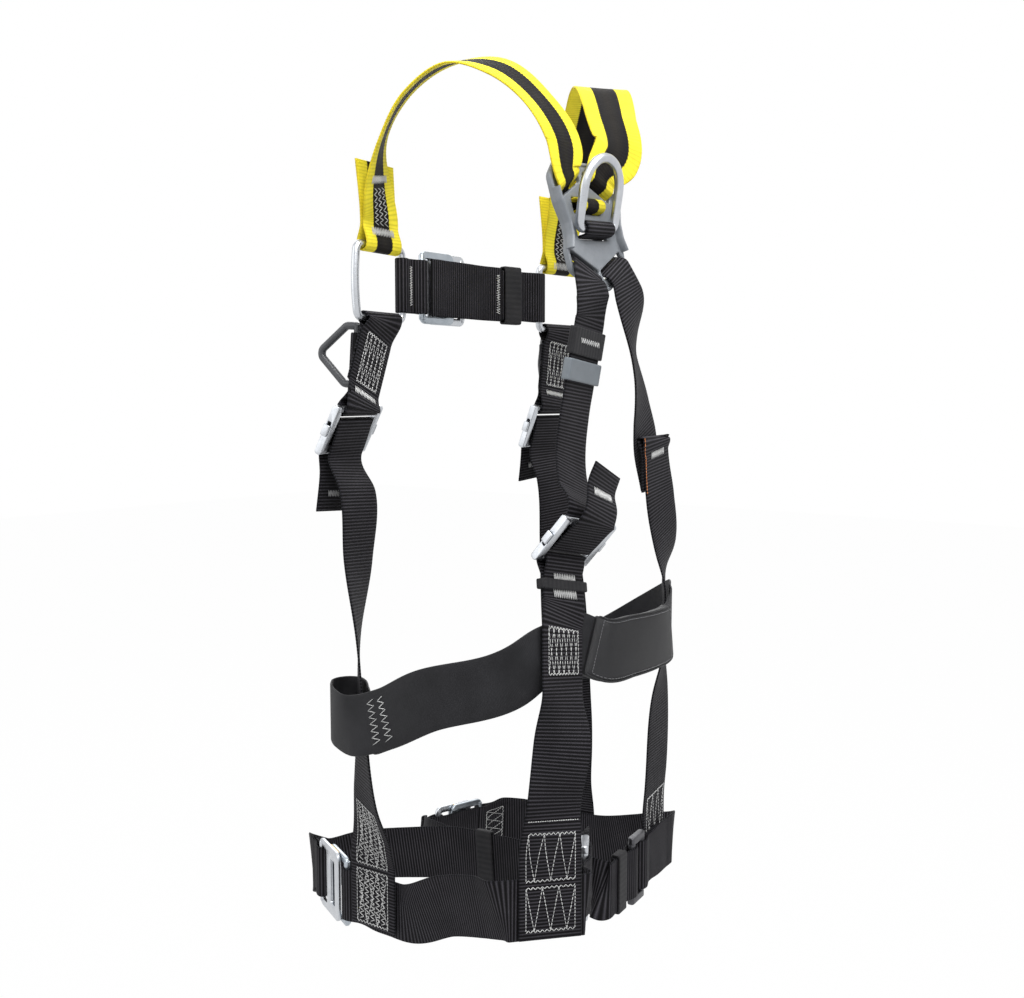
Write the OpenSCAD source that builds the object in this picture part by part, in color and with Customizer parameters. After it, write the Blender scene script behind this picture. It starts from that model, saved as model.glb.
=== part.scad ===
// Full body safety harness, posed as if worn.
// +X is the wearer's left, +Y the back, +Z up, origin at the waist.

/* [Worn shape] */
// Width of the worn harness, across the leg loops
worn_w = 320; // [300:5:340]
// Depth of the worn harness, from its front to its back
worn_d = 280; // [265:5:295]
// Height of the worn harness, from the leg loops to the shoulders
worn_h = 690; // [660:5:720]

/* [Webbing] */
// Width of the load webbing
web_w = 45; // [41:1:48]
// Thickness of the load webbing
web_t = 2; // [1.6:0.1:2.3]
// How much narrower webbing is where it is gathered round a bar
gather = 3; // [2.5:0.5:6]
// Gap between two sewn layers
seam_gap = 0.3; // [0.2:0.1:0.5]
// Gap between webbing and the bar that it goes round
bar_gap = 0.4; // [0.3:0.1:0.6]
// Flat length that a sewn layer keeps beside a bar
flat_run = 3; // [2:0.5:4]
// Length of a sewn return behind a bar
return_len = 34; // [24:1:40]
// Longest step along a strap
ring_pitch = 8; // [6:1:12]

/* [Dorsal plate] */
// Width of the plate across its upper corners
plate_w = 80; // [76:1:90]
// Height of the plate above the dorsal bar's level
plate_top = 52; // [50:1:58]
// Height of the plate below that level
plate_low = 44; // [42:1:50]
// Thickness of the plate
plate_t = 4; // [3:0.2:5]
// Width of the plate at its waist
plate_waist = 68; // [62:1:74]
// Length of the four slanted slots beyond the webbing in them
slot_spare = 1.2; // [1:0.2:2]
// Width of the slanted slots
slot_w = 8; // [7.5:0.5:10]

/* [Dorsal ring] */
// Wire of the dorsal ring
dee_wire = 7; // [6:0.5:8]
// Clear width inside the dorsal ring
dee_w = 39; // [38:1:46]
// Height of the dorsal ring from its bar to its bow
dee_h = 50; // [46:1:60]
// Width of the webbing roll round the dorsal bar
roll_w = 36; // [30:1:37]

/* [Front rings] */
// Wire of the two front rings
ring_wire = 6; // [5:0.5:7]
// Bend of the front rings' corners
ring_bend = 4.5; // [4:0.5:6]
// Clear length that a front ring has beyond the gathered webbing
ring_spare = 1.4; // [1:0.2:2]

/* [Adjusters] */
// Round bar at either end of an adjuster
adj_bar = 6; // [5:0.5:7]
// Distance between an adjuster's end bars
adj_pitch = 34; // [34:1:40]
// Width of an adjuster's side rail
rail_w = 6; // [5:0.5:8]
// Thickness of an adjuster's side rail
rail_t = 6; // [5.5:0.5:8]
// Height of the sliding bar
slider_h = 7; // [5:0.5:8]
// Thickness of the sliding bar
slider_t = 2.4; // [2:0.2:2.8]
// Travel of the sliding bar
slider_travel = 3; // [2:0.5:3.5]
// Running clearance of moving steel pieces
run_gap = 0.4; // [0.3:0.1:0.6]

/* [Pass through buckles] */
// Round bar of a pass through buckle
buckle_bar = 5; // [4:0.5:6]
// Thickness of a buckle plate
buckle_t = 3; // [2.4:0.2:3.4]
// Length of the buckle frame from its bar to its end
buckle_len = 34; // [30:1:40]
// Length of the hooked plate, without its arms
tongue_len = 28; // [24:1:32]

/* [Lanyard rings] */
// Height of a lanyard ring
park_h = 50; // [44:1:60]
// Reach of a lanyard ring from its tab
park_w = 38; // [32:1:46]
// Wire of a lanyard ring
park_wire = 6; // [5:0.5:7]

/* [Keepers and band] */
// Wall of an elastic keeper
keeper_wall = 1.4; // [1:0.1:2]
// Clearance between a sliding keeper and its strap
keeper_gap = 0.6; // [0.5:0.1:1]
// Thickness of the elastic seat band
band_t = 1.8; // [1.4:0.1:2.2]
// Width of the elastic seat band
band_w = 44; // [40:1:46]
// Wall of the padded sleeve on the seat band
pad_wall = 3; // [2:0.5:4]
// Height of the padded sleeve
pad_h = 48; // [47:0.5:56]
// Slack of the seat band's loop round the left front strap
loop_slack = 14; // [0:1:20]

/* [Hidden] */
$fn = 32;

// Vectors and local frames; a frame is [place, bearing of its outward face, lean, roll]
function unit(v) = v / norm(v);
function face(az, el) = [cos(el) * cos(az), cos(el) * sin(az), sin(el)];
function worn(x, y, z) = [x * worn_w / 320, y * worn_d / 280, z * worn_h / 690];
function at(x, y, z, az, el = 0, tuck = 0) = [worn(x, y, z), face(az, el), tuck];
function turn_x(v, a) = [v.x, v.y * cos(a) - v.z * sin(a), v.y * sin(a) + v.z * cos(a)];
function turn_y(v, a) = [v.x * cos(a) + v.z * sin(a), v.y, v.z * cos(a) - v.x * sin(a)];
function turn_z(v, a) = [v.x * cos(a) - v.y * sin(a), v.x * sin(a) + v.y * cos(a), v.z];
function spun(f, v) = turn_z(turn_x(turn_y(v, f[3]), f[2]), f[1] - 90);
function put(f, v) = f[0] + spun(f, v);
function on(f, y, z, ny, nz, tuck = 0, x = 0) = [put(f, [x, y, z]), spun(f, [0, ny, nz]), tuck];
function arc(f, y, z, r, a0, a1, tuck = gather) = let (n = ceil(abs(a1 - a0) / 28))
    [for (k = [0 : n]) let (a = a0 + (a1 - a0) * k / n)
        on(f, y + r * cos(a), z + r * sin(a), cos(a), sin(a), tuck)];
function flip(r) = [for (i = [len(r) - 1 : -1 : 0]) r[i]];
function shift(s, d) = [s[0] + s[1] * d, s[1], s[2]];
function drop(s, dz, d = 0) = [s[0] + s[1] * d + [0, 0, dz], s[1], s[2]];
// The frame of a bar at z in another frame, leaning its own way
function releaned(f, z, lean) = let (
    d = spun(f, [1, 0, 0]),
    roll = 180 - asin(-d.z / cos(lean)),
    turn = atan2(d.y, d.x) - atan2(sin(roll) * sin(lean), cos(roll)))
    [put(f, [0, 0, z]), 90 + turn, lean, roll];
module place(f)
    translate(f[0]) rotate([0, 0, f[1] - 90]) rotate([f[2], 0, 0]) rotate([0, f[3], 0]) children();

// Smooth stations along a route of [place, face, tuck]
function chord(r, i) = norm(r[i + 1][0] - r[i][0]);
function slope(r, i, j) = i == 0 ? (r[1][j] - r[0][j]) / chord(r, 0)
    : i == len(r) - 1 ? (r[i][j] - r[i - 1][j]) / chord(r, i - 1)
    : let (a = chord(r, i - 1), b = chord(r, i))
      (b * (r[i][j] - r[i - 1][j]) / a + a * (r[i + 1][j] - r[i][j]) / b) / (a + b);
function hermite(p, m, q, n, d, t) = (1 + 2 * t) * pow(1 - t, 2) * p + t * pow(1 - t, 2) * d * m
    + t * t * (3 - 2 * t) * q + t * t * (t - 1) * d * n;
function between(r, i, t) = [for (j = [0 : 2])
    hermite(r[i][j], slope(r, i, j), r[i + 1][j], slope(r, i + 1, j), chord(r, i), t)];
function stations(r) = [for (i = [0 : len(r) - 2]) let (n = max(1, ceil(chord(r, i) / ring_pitch)))
    for (k = [0 : n - 1]) between(r, i, k / n), r[len(r) - 1]];
function pick(s, i) = s[max(0, min(len(s) - 1, i))];
function ring_of(s, i, w, t) = let (u = unit(pick(s, i + 1)[0] - pick(s, i - 1)[0]),
    side = unit(cross(u, s[i][1])), up = cross(side, u), h = (w - s[i][2]) / 2)
    [for (c = [[-1, -1], [1, -1], [1, 1], [-1, 1]]) s[i][0] + side * h * c.x + up * t / 2 * c.y];
function quad(a, b, c, d) = [[a, c, b], [a, d, c]];

// Both faces of a twisted ribbon are split along the same diagonal
module ribbon(route, w = web_w, t = web_t, twisted = false) {
    s = stations(route);
    n = len(s);
    points = [for (i = [0 : n - 1]) each ring_of(s, i, w, t)];
    walls = [for (i = [0 : n - 2], k = [0 : 3]) let (a = 4 * i, b = (k + 1) % 4, turn = twisted && k == 2)
        each turn ? quad(a + b, a + k, a + 4 + k, a + 4 + b) : quad(a + k, a + 4 + k, a + 4 + b, a + b)];
    polyhedron(points, concat(quad(0, 1, 2, 3), quad(4 * n - 1, 4 * n - 2, 4 * n - 3, 4 * n - 4), walls));
}

module sleeve(route, in_w, in_t, wall_w, wall_t) {
    s = stations(route);
    n = len(s);
    points = [for (i = [0 : n - 1]) each concat(ring_of(s, i, in_w + 2 * wall_w, in_t + 2 * wall_t),
        ring_of(s, i, in_w, in_t))];
    walls = [for (i = [0 : n - 2], k = [0 : 3]) let (a = 8 * i, b = (k + 1) % 4)
        each concat(quad(a + k, a + 8 + k, a + 8 + b, a + b),
            quad(a + 4 + b, a + 12 + b, a + 12 + k, a + 4 + k))];
    ends = [for (k = [0 : 3]) let (b = (k + 1) % 4, z = 8 * (n - 1))
        each concat(quad(k, b, 4 + b, 4 + k), quad(z + 4 + k, z + 4 + b, z + b, z + k))];
    polyhedron(points, concat(walls, ends));
}

// Webbing round bars
ply = web_t + seam_gap;
loop_w = web_w - gather;
clear_half = loop_w / 2 + ring_spare;
function wrap_r(d) = d / 2 + bar_gap + web_t / 2;
function link(f1, z1, d1, f2, z2, d2, y1 = 0, y2 = 0, s = 1) = let (
    p = put(f1, [0, y1, z1]),
    v = put(f2, [0, y2, z2]) - p,
    n = s * unit(spun(f1, [0, 1, 0]) + spun(f2, [0, 1, 0])),
    k = norm(v) > 50 ? 0.24 : 0.36,
    b = min(k + flat_run / norm(v), 0.44))
    concat([for (t = [0.52, b, k]) [p + v * t - n * ply / 2, -n, gather]],
        arc(f1, y1, z1, wrap_r(d1), 270 - 90 * s, 270 + 90 * s),
        [for (t = [k, b, 1 - b, 1 - k]) [p + v * t + n * ply / 2, n, gather]],
        arc(f2, y2, z2, wrap_r(d2), 90 - 90 * s, 90 + 90 * s),
        [for (t = [1 - k, 1 - b, 0.55]) [p + v * t - n * ply / 2, -n, gather]]);
function bar_loop(f, z, d, dir, reach, y = 0) = concat(
    [for (t = [reach, 15 + flat_run, 15]) on(f, y - ply / 2, z + dir * t, -1, 0, t == reach ? 0 : gather)],
    arc(f, y, z, wrap_r(d), 180, 180 + dir * 180),
    [for (t = [15, 15 + flat_run, reach]) on(f, y + ply / 2, z + dir * t, 1, 0, t == reach ? 0 : gather)]);

// Places of the metalwork
plate_at = [worn(15, 68, 218), 90, 12, 4];
ring_left = [worn(93, -70, 184), -84, 0, 0];
ring_right = [worn(-121, -57, 184), -95, 0, 0];
ring_half = clear_half + ring_bend;
ring_side_left = [put(ring_left, [ring_half, 0, 0]), -88, 0, 90];
ring_side_right = [put(ring_right, [-ring_half, 0, 0]), -92, 0, 90];
adj_left = [worn(119, -78, 74), -80, 28, 0];
adj_right = [worn(-112, -64, 72), -92, 22, 0];
adj_back = [worn(60, 87, -4), 76, -38, 166];
chest_at = [worn(22, -70, 184), -91, 0, 90];
leg_front_left = [worn(105, -113, -292), -24, 0, 90];
leg_front_right = [worn(-74, -136, -312), 264, 0, -86];
leg_back_left = [worn(41, 84.5, -258), 122, 0, 90];
leg_sewn_left = [worn(99, 94, -257), 50, 0, 90];
leg_back_right = [worn(-68, 62, -292), 98, 0, -90];
hip_flat = [worn(78, 90, -80), 88, 8, 0];
hip_flat_right = [worn(-103, 65, -80), 122, 0, 0];
adj_end = adj_pitch / 2;
hip_bar = releaned(adj_back, adj_end, 14);
slider_turn = slider_h / 2 + slider_travel;
slider_r = slider_t / 2 + bar_gap + web_t / 2;
frame_z = -buckle_len * 0.7;
tongue_y = buckle_t + run_gap;
tongue_z = tongue_len - 2;
back_ring_z = 9;
sewn_at = 39;
front_sewn_at = 32;
leg_lead_left = [put(leg_front_left, [0, 0, frame_z]), 2, 0, 90];

// Straps of the back and the shoulders
slot_len = plate_w * 0.44;
slot_x = plate_w * 0.23;
slot_up = plate_top - 18;
slot_down = plate_low - 19;
slot_lean = 26;
slot_tuck = web_w + slot_spare - slot_len;
function slot_on(sx, sz, y, s) = let (z = (sz > 0 ? slot_up : slot_down) + s * cos(slot_lean))
    on(plate_at, y, sz * z, 1, 0, slot_tuck, sx * (slot_x + s * sin(slot_lean)));
function slot_path(sx, sz, deep) = let (y = -plate_t / 2 - 2.6 - deep * 2.6)
    concat([for (s = [-22, -13, -4]) slot_on(sx, sz, y, s)],
        [slot_on(sx, sz, plate_t / 2 + 3, 4), slot_on(sx, sz, plate_t / 2 + 3.8, 9)]);
shoulder_left = concat(slot_path(1, 1, 0), [
    at(40, 62, 280, 90, 20), at(48, 44, 312, 84, 40), at(62, 18, 335, 62, 56), at(79, -12, 338, 0, 74),
    at(94, -40, 318, -44, 40), at(101, -58, 286, -50, 16), at(98, -66, 250, -72, 4)]);
shoulder_right = concat(slot_path(-1, 1, 1), [
    at(-20, 68, 280, 76, 14), at(-32, 54, 314, 62, 28), at(-52, 34, 338, 55, 62), at(-76, 12, 344, 235, 80),
    at(-101, -14, 326, 238, 48), at(-117, -38, 290, 250, 20), at(-122, -52, 252, 264, 4)]);
function below_plate(x) = on(plate_at, plate_t / 2 + 3.8, -plate_low - 5, 1, 0, 3, x);
back_left = concat(slot_path(1, -1, 0), [below_plate(slot_x + 4),
    at(32.5, 81, 154.4, 98), at(33, 80.5, 150, 98), at(35.5, 78, 128, 98), at(38, 75.5, 106, 98),
    at(40.5, 73, 84, 98), at(46, 74, 52, 96), at(52, 82, 32, 92)]);
back_right = concat(slot_path(-1, -1, 1), [below_plate(-slot_x - 9),
    at(-42, 73, 120, 122), at(-64, 65, 86, 106), at(-74, 63, 60, 98), at(-82, 61, 28, 108)]);

module strap_to_ring(route, f) {
    r = wrap_r(ring_wire);
    wrapped = [for (a = [180 : 30 : 360])
        on(f, r * cos(a), ring_half + r * sin(a), -cos(a), -sin(a), gather)];
    run = [for (z = [15 + flat_run, 15]) on(f, -ply / 2, ring_half + z, 1, 0, gather)];
    flap = [for (z = [15, 15 + flat_run]) on(f, ply / 2, ring_half + z, -1, 0, gather)];
    ribbon(concat(route, run, wrapped, flap, [on(f, ply / 2 + 3, ring_half + 62, -1, 0)]));
}
module shoulder_strap_left() color("gold") strap_to_ring(shoulder_left, ring_left);
module shoulder_strap_right() color("gold") strap_to_ring(shoulder_right, ring_right);

// Webbing rolled round an adjuster's sliding bar, with the loose end in front
function slider_wrap(f) = let (w = wrap_r(adj_bar))
    concat([on(f, w + 0.6, -adj_end, 1, 0, gather)],
        arc(f, 0, slider_turn, slider_r, 0, 180),
        [on(f, -w - 0.6, -adj_end + 4, -1, 0, gather), on(f, -w - 1, -adj_end - 2, -1, 0, gather)]);
function about(r) = [for (s = r) [s[0], -s[1], s[2]]];
module back_strap_left() color("dimgray") ribbon(concat(about(back_left), flip(slider_wrap(adj_back)),
    [on(adj_back, wrap_r(adj_bar) + 1.4, -adj_end - 5, 1, 0, gather),
    at(55, 107, 21, 92, 0, gather), at(51, 104, 34, 96, 0, gather), at(46, 106, 47, 100)]));
module back_strap_right() color("dimgray") ribbon(back_right);

// Rings and adjusters
module rod(d, a, b) translate([a, 0, 0]) rotate([0, 90, 0]) cylinder(d = d, h = b - a);
module bend(d, r, a = 90) rotate_extrude(angle = a) translate([r, 0]) circle(d = d);
module wire_square(half, r, d) {
    for (a = [0 : 90 : 270])
        rotate([0, a, 0]) {
            translate([0, 0, half]) rod(d, r - half, half - r);
            translate([half - r, 0, half - r]) rotate([90, 0, 0]) bend(d, r);
        }
}
module front_ring(f) color("silver") place(f) wire_square(ring_half, ring_bend, ring_wire);
module front_ring_left() front_ring(ring_left);
module front_ring_right() front_ring(ring_right);

module adjuster(f) color("silver") place(f) {
    rail = clear_half + rail_w / 2;
    slot_h = slider_h + slider_travel + 2 * run_gap;
    for (s = [-1, 1])
        translate([0, 0, s * adj_end]) rod(adj_bar, -rail, rail);
    for (s = [-1, 1])
        difference() {
            translate([s * rail, 0, 0]) cube([rail_w, rail_t, adj_pitch + adj_bar], center = true);
            translate([s * rail, 0, slider_travel / 2])
                cube([rail_w + 2, slider_t + 2 * run_gap, slot_h], center = true);
        }
}
module slider(f) color("gainsboro") place(f) {
    reach = clear_half + rail_w + run_gap;
    cube([2 * reach, slider_t, slider_h], center = true);
    for (s = [-1, 1])
        translate([s * (reach + 1), 0, 0]) cube([2, slider_t + 3, slider_h + 2], center = true);
}
module front_adjuster_left() adjuster(adj_left);
module front_adjuster_right() adjuster(adj_right);
module back_adjuster() adjuster(adj_back);
module front_slider_left() slider(adj_left);
module front_slider_right() slider(adj_right);
module back_slider() slider(adj_back);

// Front straps
module front_link(adj, ring) color("dimgray")
    ribbon(link(adj, adj_end, adj_bar, ring, -ring_half, ring_wire, s = -1));
module front_upper_strap_left() front_link(adj_left, ring_left);
module front_upper_strap_right() front_link(adj_right, ring_right);
front_left = [at(119, -70, 28, 100), at(122, -67, -24, 108), at(127, -63, -80, 132),
    at(130, -58, -140, 142), at(132, -53, -200, 156), at(122, -56, -236, 174)];
front_right = [at(-113, -57, 26, 86), at(-117, -54, -30, 78), at(-124, -53, -90, 60),
    at(-130, -54, -140, 55), at(-136, -56, -190, 48), at(-140, -58, -226, 28), at(-143, -59, -262, 12)];
seat_front_right = at(-146, -58, -316, 188);
leg_ply = 1.5 * ply + 0.6;
front_foot_left = [for (x = [-36, -24, 0, 18])
    on(leg_lead_left, leg_ply + 0.7, -front_sewn_at, -1, 0, 0, x)];
front_foot_right = [for (z = [22, -22]) drop(about([shift(seat_front_right, ply)])[0], z)];
module front_lower_strap_left() color("dimgray") ribbon(concat(
    [at(124, -90, 12, -80), at(122, -89, 40, -80, 0, gather)],
    slider_wrap(adj_left), front_left, front_foot_left));
module front_lower_strap_right() color("dimgray") ribbon(concat(
    [at(-115, -80, 24, -92), at(-113, -77, 46, -92, 0, gather)],
    slider_wrap(adj_right), front_right, front_foot_right));

// Lanyard rings on their webbing tabs
function tab_on(adj, ring, t) = let (
    p = put(adj, [0, 0, adj_end]),
    v = put(ring, [0, 0, -ring_half]) - p,
    u = unit(v),
    m = spun(adj, [0, 1, 0]) + spun(ring, [0, 1, 0]),
    n = unit(m - u * (m * u)))
    [p + v * t + n * (1.5 * ply + 0.5), atan2(n.y, n.x), asin(n.z), 90];
tab_left = tab_on(adj_left, ring_left, 0.58);
tab_right = tab_on(adj_right, ring_right, 0.58);
tab_w = park_h - 2 * park_wire - 4;
park_y = park_wire / 2 + 6;
tab_bend = 1.8;
park_swing = 45;
function tab_foot(f, s) = let (r = wrap_r(park_wire), b = tab_bend)
    concat([on(f, 0, s * 16, 1, 0)], [for (a = [90 : -45 : 0])
        on(f, b * (1 - sin(a)), s * (r + b * (1 - cos(a))), sin(a), s * cos(a))]);
module tab(f) color("dimgray") ribbon(concat(tab_foot(f, -1),
    arc(f, park_y, 0, wrap_r(park_wire), -90, 90, 0), flip(tab_foot(f, 1))), tab_w);
module park_ring(f, swing = 0) color("dimgray") place(f) translate([0, park_y, 0]) rotate([swing, 0, 0]) {
    h = park_h / 2 - park_wire / 2;
    e = park_wire / 2;
    w = park_w - park_wire;
    rod(park_wire, -h, h);
    half = [[4.2, w + e], [h + e, 11.4], [h + e, -e], [h - e, -e], [h - e, 8.6], [1.6, w - e]];
    linear_extrude(park_wire - 1, center = true)
        polygon(concat(half, [for (q = flip(half)) [-q.x, q.y]]));
}
module lanyard_tab_left() tab(tab_left);
module lanyard_tab_right() tab(tab_right);
module lanyard_ring_left() park_ring(tab_left);
module lanyard_ring_right() park_ring(tab_right, park_swing);

// Hip straps
hip_left = concat([for (z = [16, 0, -16, -30]) on(hip_flat, 0, z, 1, 0, 0, -z / 6)],
    [at(90, 99, -140, 62), at(99, 98, -186, 68)]);
hip_right = concat([at(-78, 71, 52, 96), at(-84, 72, 14, 92), at(-97, 70, -26, 100)],
    [for (z = [26, 0, -26]) on(hip_flat_right, 0, z, 1, 0, 0, z / 8)],
    [at(-108, 59, -152, 104), at(-110, 55, -226, 98)]);
seat_left_back = on(leg_sewn_left, leg_ply, 0, 1, 0);
seat_right_back = on(leg_back_right, -leg_ply, back_ring_z + sewn_at - 3, 1, 0);
module hip_strap_left() color("dimgray") ribbon(concat(
    [for (z = [30, 18, 15]) on(hip_bar, -ply / 2, z, -1, 0, z > 18 ? 0 : gather)],
    arc(hip_bar, 0, 0, wrap_r(adj_bar), 180, 360),
    [for (z = [15, 18, 23, 31]) on(hip_bar, ply / 2, z, 1, 0, z > 18 ? 0 : gather)],
    hip_left, [for (z = [38, 25, 0, -21]) drop(seat_left_back, z)]));
module hip_strap_right() color("dimgray") ribbon(concat(
    [at(-80, 69.5, 24, -88), at(-77, 69, 56, -84), at(-76, 70.2, 66, 0, 90), at(-76.2, 71.6, 64, 96)],
    hip_right, [for (z = [38, 25, 0, -21]) drop(seat_right_back, z)]));

// Leg loops
function beside(s, d) = [s[0] + turn_z(s[1], 90) * d, s[1], s[2]];
outer_left = concat(bar_loop(leg_lead_left, 0, buckle_bar, -1, return_len - 4),
    [on(leg_lead_left, ply / 2, -46, 1, 0), on(leg_lead_left, ply / 2, -60, 1, 0),
    at(115, 14, -273, 0), at(119, 47, -263, 2)],
    [for (z = [30, 22, 0, -21, -26]) on(leg_sewn_left, ply / 2, z, 1, 0)],
    flip(bar_loop(leg_back_left, back_ring_z, adj_bar, 1, return_len - 10)));
outer_right = concat(bar_loop(leg_front_right, frame_z, buckle_bar, -1, return_len),
    [at(-142, -114, -316, 222),
    beside(seat_front_right, 25), seat_front_right, beside(seat_front_right, -25),
    at(-148, 18, -304, 156), on(leg_back_right, ply / 2, 76, 1, 0),
    on(leg_back_right, ply / 2, 60, 1, 0)],
    flip(bar_loop(leg_back_right, back_ring_z, adj_bar, 1, return_len)));
leg_straight = [for (k = [0 : 3]) at(7, -64 + 26 * k, -288 + 2 * k, 180)];
inner_left = concat(bar_loop(leg_front_left, tongue_z, buckle_bar, 1, 22, tongue_y),
    [at(72, -167, -303, -76), at(42, -152, -301, -118), at(18, -110, -295, -154)], leg_straight,
    [at(7, 40, -280, 178), on(leg_back_left, ply / 2, -back_ring_z - 30, 1, 0)],
    flip(bar_loop(leg_back_left, -back_ring_z, adj_bar, -1, 24)));
inner_right = concat(bar_loop(leg_front_right, tongue_z, buckle_bar, 1, 20, tongue_y),
    [at(-18, -126, -302, -40), at(-9, -80, -298, -6), at(-10, -30, -293, 4), at(-11, 16, -290, 6),
    at(-14, 46, -290, 24), on(leg_back_right, ply / 2, -back_ring_z - 46, 1, 0)],
    flip(bar_loop(leg_back_right, -back_ring_z, adj_bar, -1, return_len)));
module leg_strap_outer_left() color("dimgray") ribbon(outer_left, twisted = true);
module leg_strap_outer_right() color("dimgray") ribbon(outer_right, twisted = true);
module leg_strap_inner_left() color("dimgray") ribbon(inner_left, twisted = true);
module leg_strap_inner_right() color("dimgray") ribbon(inner_right, twisted = true);

// Pass through buckles and back rings
module buckle_frame(f) color("silver") place(f) {
    rail = clear_half + rail_w / 2;
    translate([0, 0, frame_z]) rod(buckle_bar, -rail, rail);
    for (s = [-1, 1])
        translate([s * rail, 0, frame_z + buckle_len / 2])
            cube([rail_w, buckle_t, buckle_len + buckle_bar], center = true);
    translate([0, 0, frame_z + buckle_len - 4]) cube([2 * rail, buckle_t, 8], center = true);
}
module buckle_tongue(f) color("lightsteelblue") place(f) translate([0, tongue_y, 0]) {
    rail = clear_half + rail_w / 2;
    body = tongue_z - 13 - tongue_len / 2;
    translate([0, 0, tongue_z]) rod(buckle_bar, -rail, rail);
    for (s = [-1, 1])
        translate([s * rail, 0, tongue_z - 6]) cube([rail_w, buckle_t, 14 + buckle_bar], center = true);
    difference() {
        translate([0, 0, body]) cube([2 * rail + rail_w, buckle_t, tongue_len], center = true);
        translate([0, 0, body]) cube([2 * clear_half - 8, buckle_t + 1, tongue_len * 0.36], center = true);
    }
}
module back_ring(f) color("silver") place(f) {
    rail = clear_half + rail_w / 2;
    for (s = [-1, 1]) {
        translate([0, 0, s * back_ring_z]) rod(adj_bar, -rail, rail);
        translate([s * rail, 0, 0]) cube([rail_w, rail_t, 2 * back_ring_z + adj_bar], center = true);
    }
}
module chest_buckle_frame() buckle_frame(chest_at);
module chest_buckle_tongue() buckle_tongue(chest_at);
module leg_buckle_frame_left() buckle_frame(leg_front_left);
module leg_buckle_frame_right() buckle_frame(leg_front_right);
module leg_buckle_tongue_left() buckle_tongue(leg_front_left);
module leg_buckle_tongue_right() buckle_tongue(leg_front_right);
module leg_back_ring_left() back_ring(leg_back_left);
module leg_back_ring_right() back_ring(leg_back_right);
chest_right = link(chest_at, tongue_z, buckle_bar, ring_side_right, 0, ring_wire, tongue_y);
module chest_strap_left() color("dimgray")
    ribbon(link(ring_side_left, 0, ring_wire, chest_at, frame_z, buckle_bar));
module chest_strap_right() color("dimgray") ribbon(chest_right);

// Loose webbing behind two buckles
function flap_on(f) = [for (z = [-17, 4, 25]) on(f, -1.4 * buckle_t, z, 1, 0)];
module chest_flap() color("dimgray") ribbon(concat(flap_on(chest_at),
    [for (t = [0.06, 0.2, 0.42]) toward(chest_mid[0], chest_mid[1], t, -1.5 * ply)]));
module leg_flap_right() color("dimgray") ribbon(concat(flap_on(leg_front_right),
    [for (z = [33, 38, 42]) on(leg_front_right, tongue_y - 1.5 * ply - (43 - z) / 3, z, 1, 0)]));

// Keepers: straight sleeves round one or two layers of webbing
function toward(a, b, t, d = 0) = [a[0] + (b[0] - a[0]) * t + a[1] * d, a[1], 0];
module keeper(a, b, layers = 1, wall = keeper_wall) {
    in_t = layers * web_t + (layers - 1) * seam_gap + 2 * keeper_gap;
    sleeve([a, b], web_w + 2 * keeper_gap, in_t, wall, wall);
}
module keeper_on(a, b, from, to, layers = 1, wall = keeper_wall)
    keeper(toward(a, b, from), toward(a, b, to), layers, wall);
keep_run = [back_left[7], back_left[10]];
module back_keeper() color("black") keeper_on(keep_run[0], keep_run[1], 0.06, 0.35);
module back_slide_plate() color("gray") keeper_on(keep_run[0], keep_run[1], 0.4, 0.63, 1, 1.8);
module leg_keeper_left() color("black") keeper_on(leg_straight[0], leg_straight[3], 0.24, 0.44);
leg_keep_right = [for (z = [18, 32]) on(leg_back_right, 0, -back_ring_z - z, 1, 0)];
module leg_keeper_right() color("black") keeper_on(leg_keep_right[0], leg_keep_right[1], 0, 1, 2);
module hip_keeper() color("black") keeper(on(hip_bar, 0, 16, 1, 0), on(hip_bar, 0, 23, 1, 0), 2);
chest_mid = [for (k = [11, 14]) [chest_right[k][0] - chest_right[k][1] * ply / 2, chest_right[k][1], 0]];
module chest_keeper() color("black") keeper_on(chest_mid[0], chest_mid[1], 0.54, 0.93, 2);

// Seat band looped round both front straps, with its padded sleeve
wrap_d = (web_t + band_t) / 2 + 3.7;
band_side = (web_t + band_t) / 2 + seam_gap + 2.8;
function band_wrap(s, dir, loose) = let (
    n = -s[1],
    e = turn_z(n, 90 * dir),
    h = web_w / 2 + 1,
    c = s[0] - e * h + n * loose / 2)
    concat([[s[0] + e * h + n * (wrap_d + loose * 0.4), n, 0], [s[0] + n * (wrap_d + loose), n, 0]],
        [for (a = [0 : 30 : 180]) let (d = n * cos(a) - e * sin(a)) [c + d * (wrap_d + loose / 2), d, 0]],
        [[s[0] - n * wrap_d, -n, 0], [s[0] + e * h - n * wrap_d, -n, 0]]);
seat_main = concat([at(151, -16, -131, -16), at(148, 22, -112, 12), at(116, 74, -94, 56)],
    [for (x = [24, 0, -24]) on(hip_flat, -band_side, -x / 8, 1, 0, 0, x)],
    [at(34, 96, -86, 86, 8), at(4, 99, -87, 90, 4), at(-30, 98, -88, 92), at(-58, 93, -88, 98)],
    [for (x = [24, 0, -24]) on(hip_flat_right, band_side, 0, 1, 0, 0, x)],
    [at(-146, 22, -100, 164), at(-152, -14, -122, 186)]);
function band_end(s, d) = [s[0] - s[1] * d, -s[1], 0];
seat_route = concat([band_end(seat_main[0], band_t + seam_gap)],
    flip(band_wrap(front_left[3], 1, loop_slack)), seat_main, band_wrap(front_right[3], -1, 0),
    [band_end(seat_main[len(seat_main) - 1], band_t + seam_gap)]);
module seat_band() color("darkslategray") ribbon(seat_route, band_w, band_t);
pad_left = worn(46, 84, 0);
pad_right = worn(-62, 84, 0);
pad_route = [for (q = stations(seat_route))
    if (q[0].y > pad_left.y && q[0].x < pad_left.x && q[0].x > pad_right.x) q];
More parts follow.
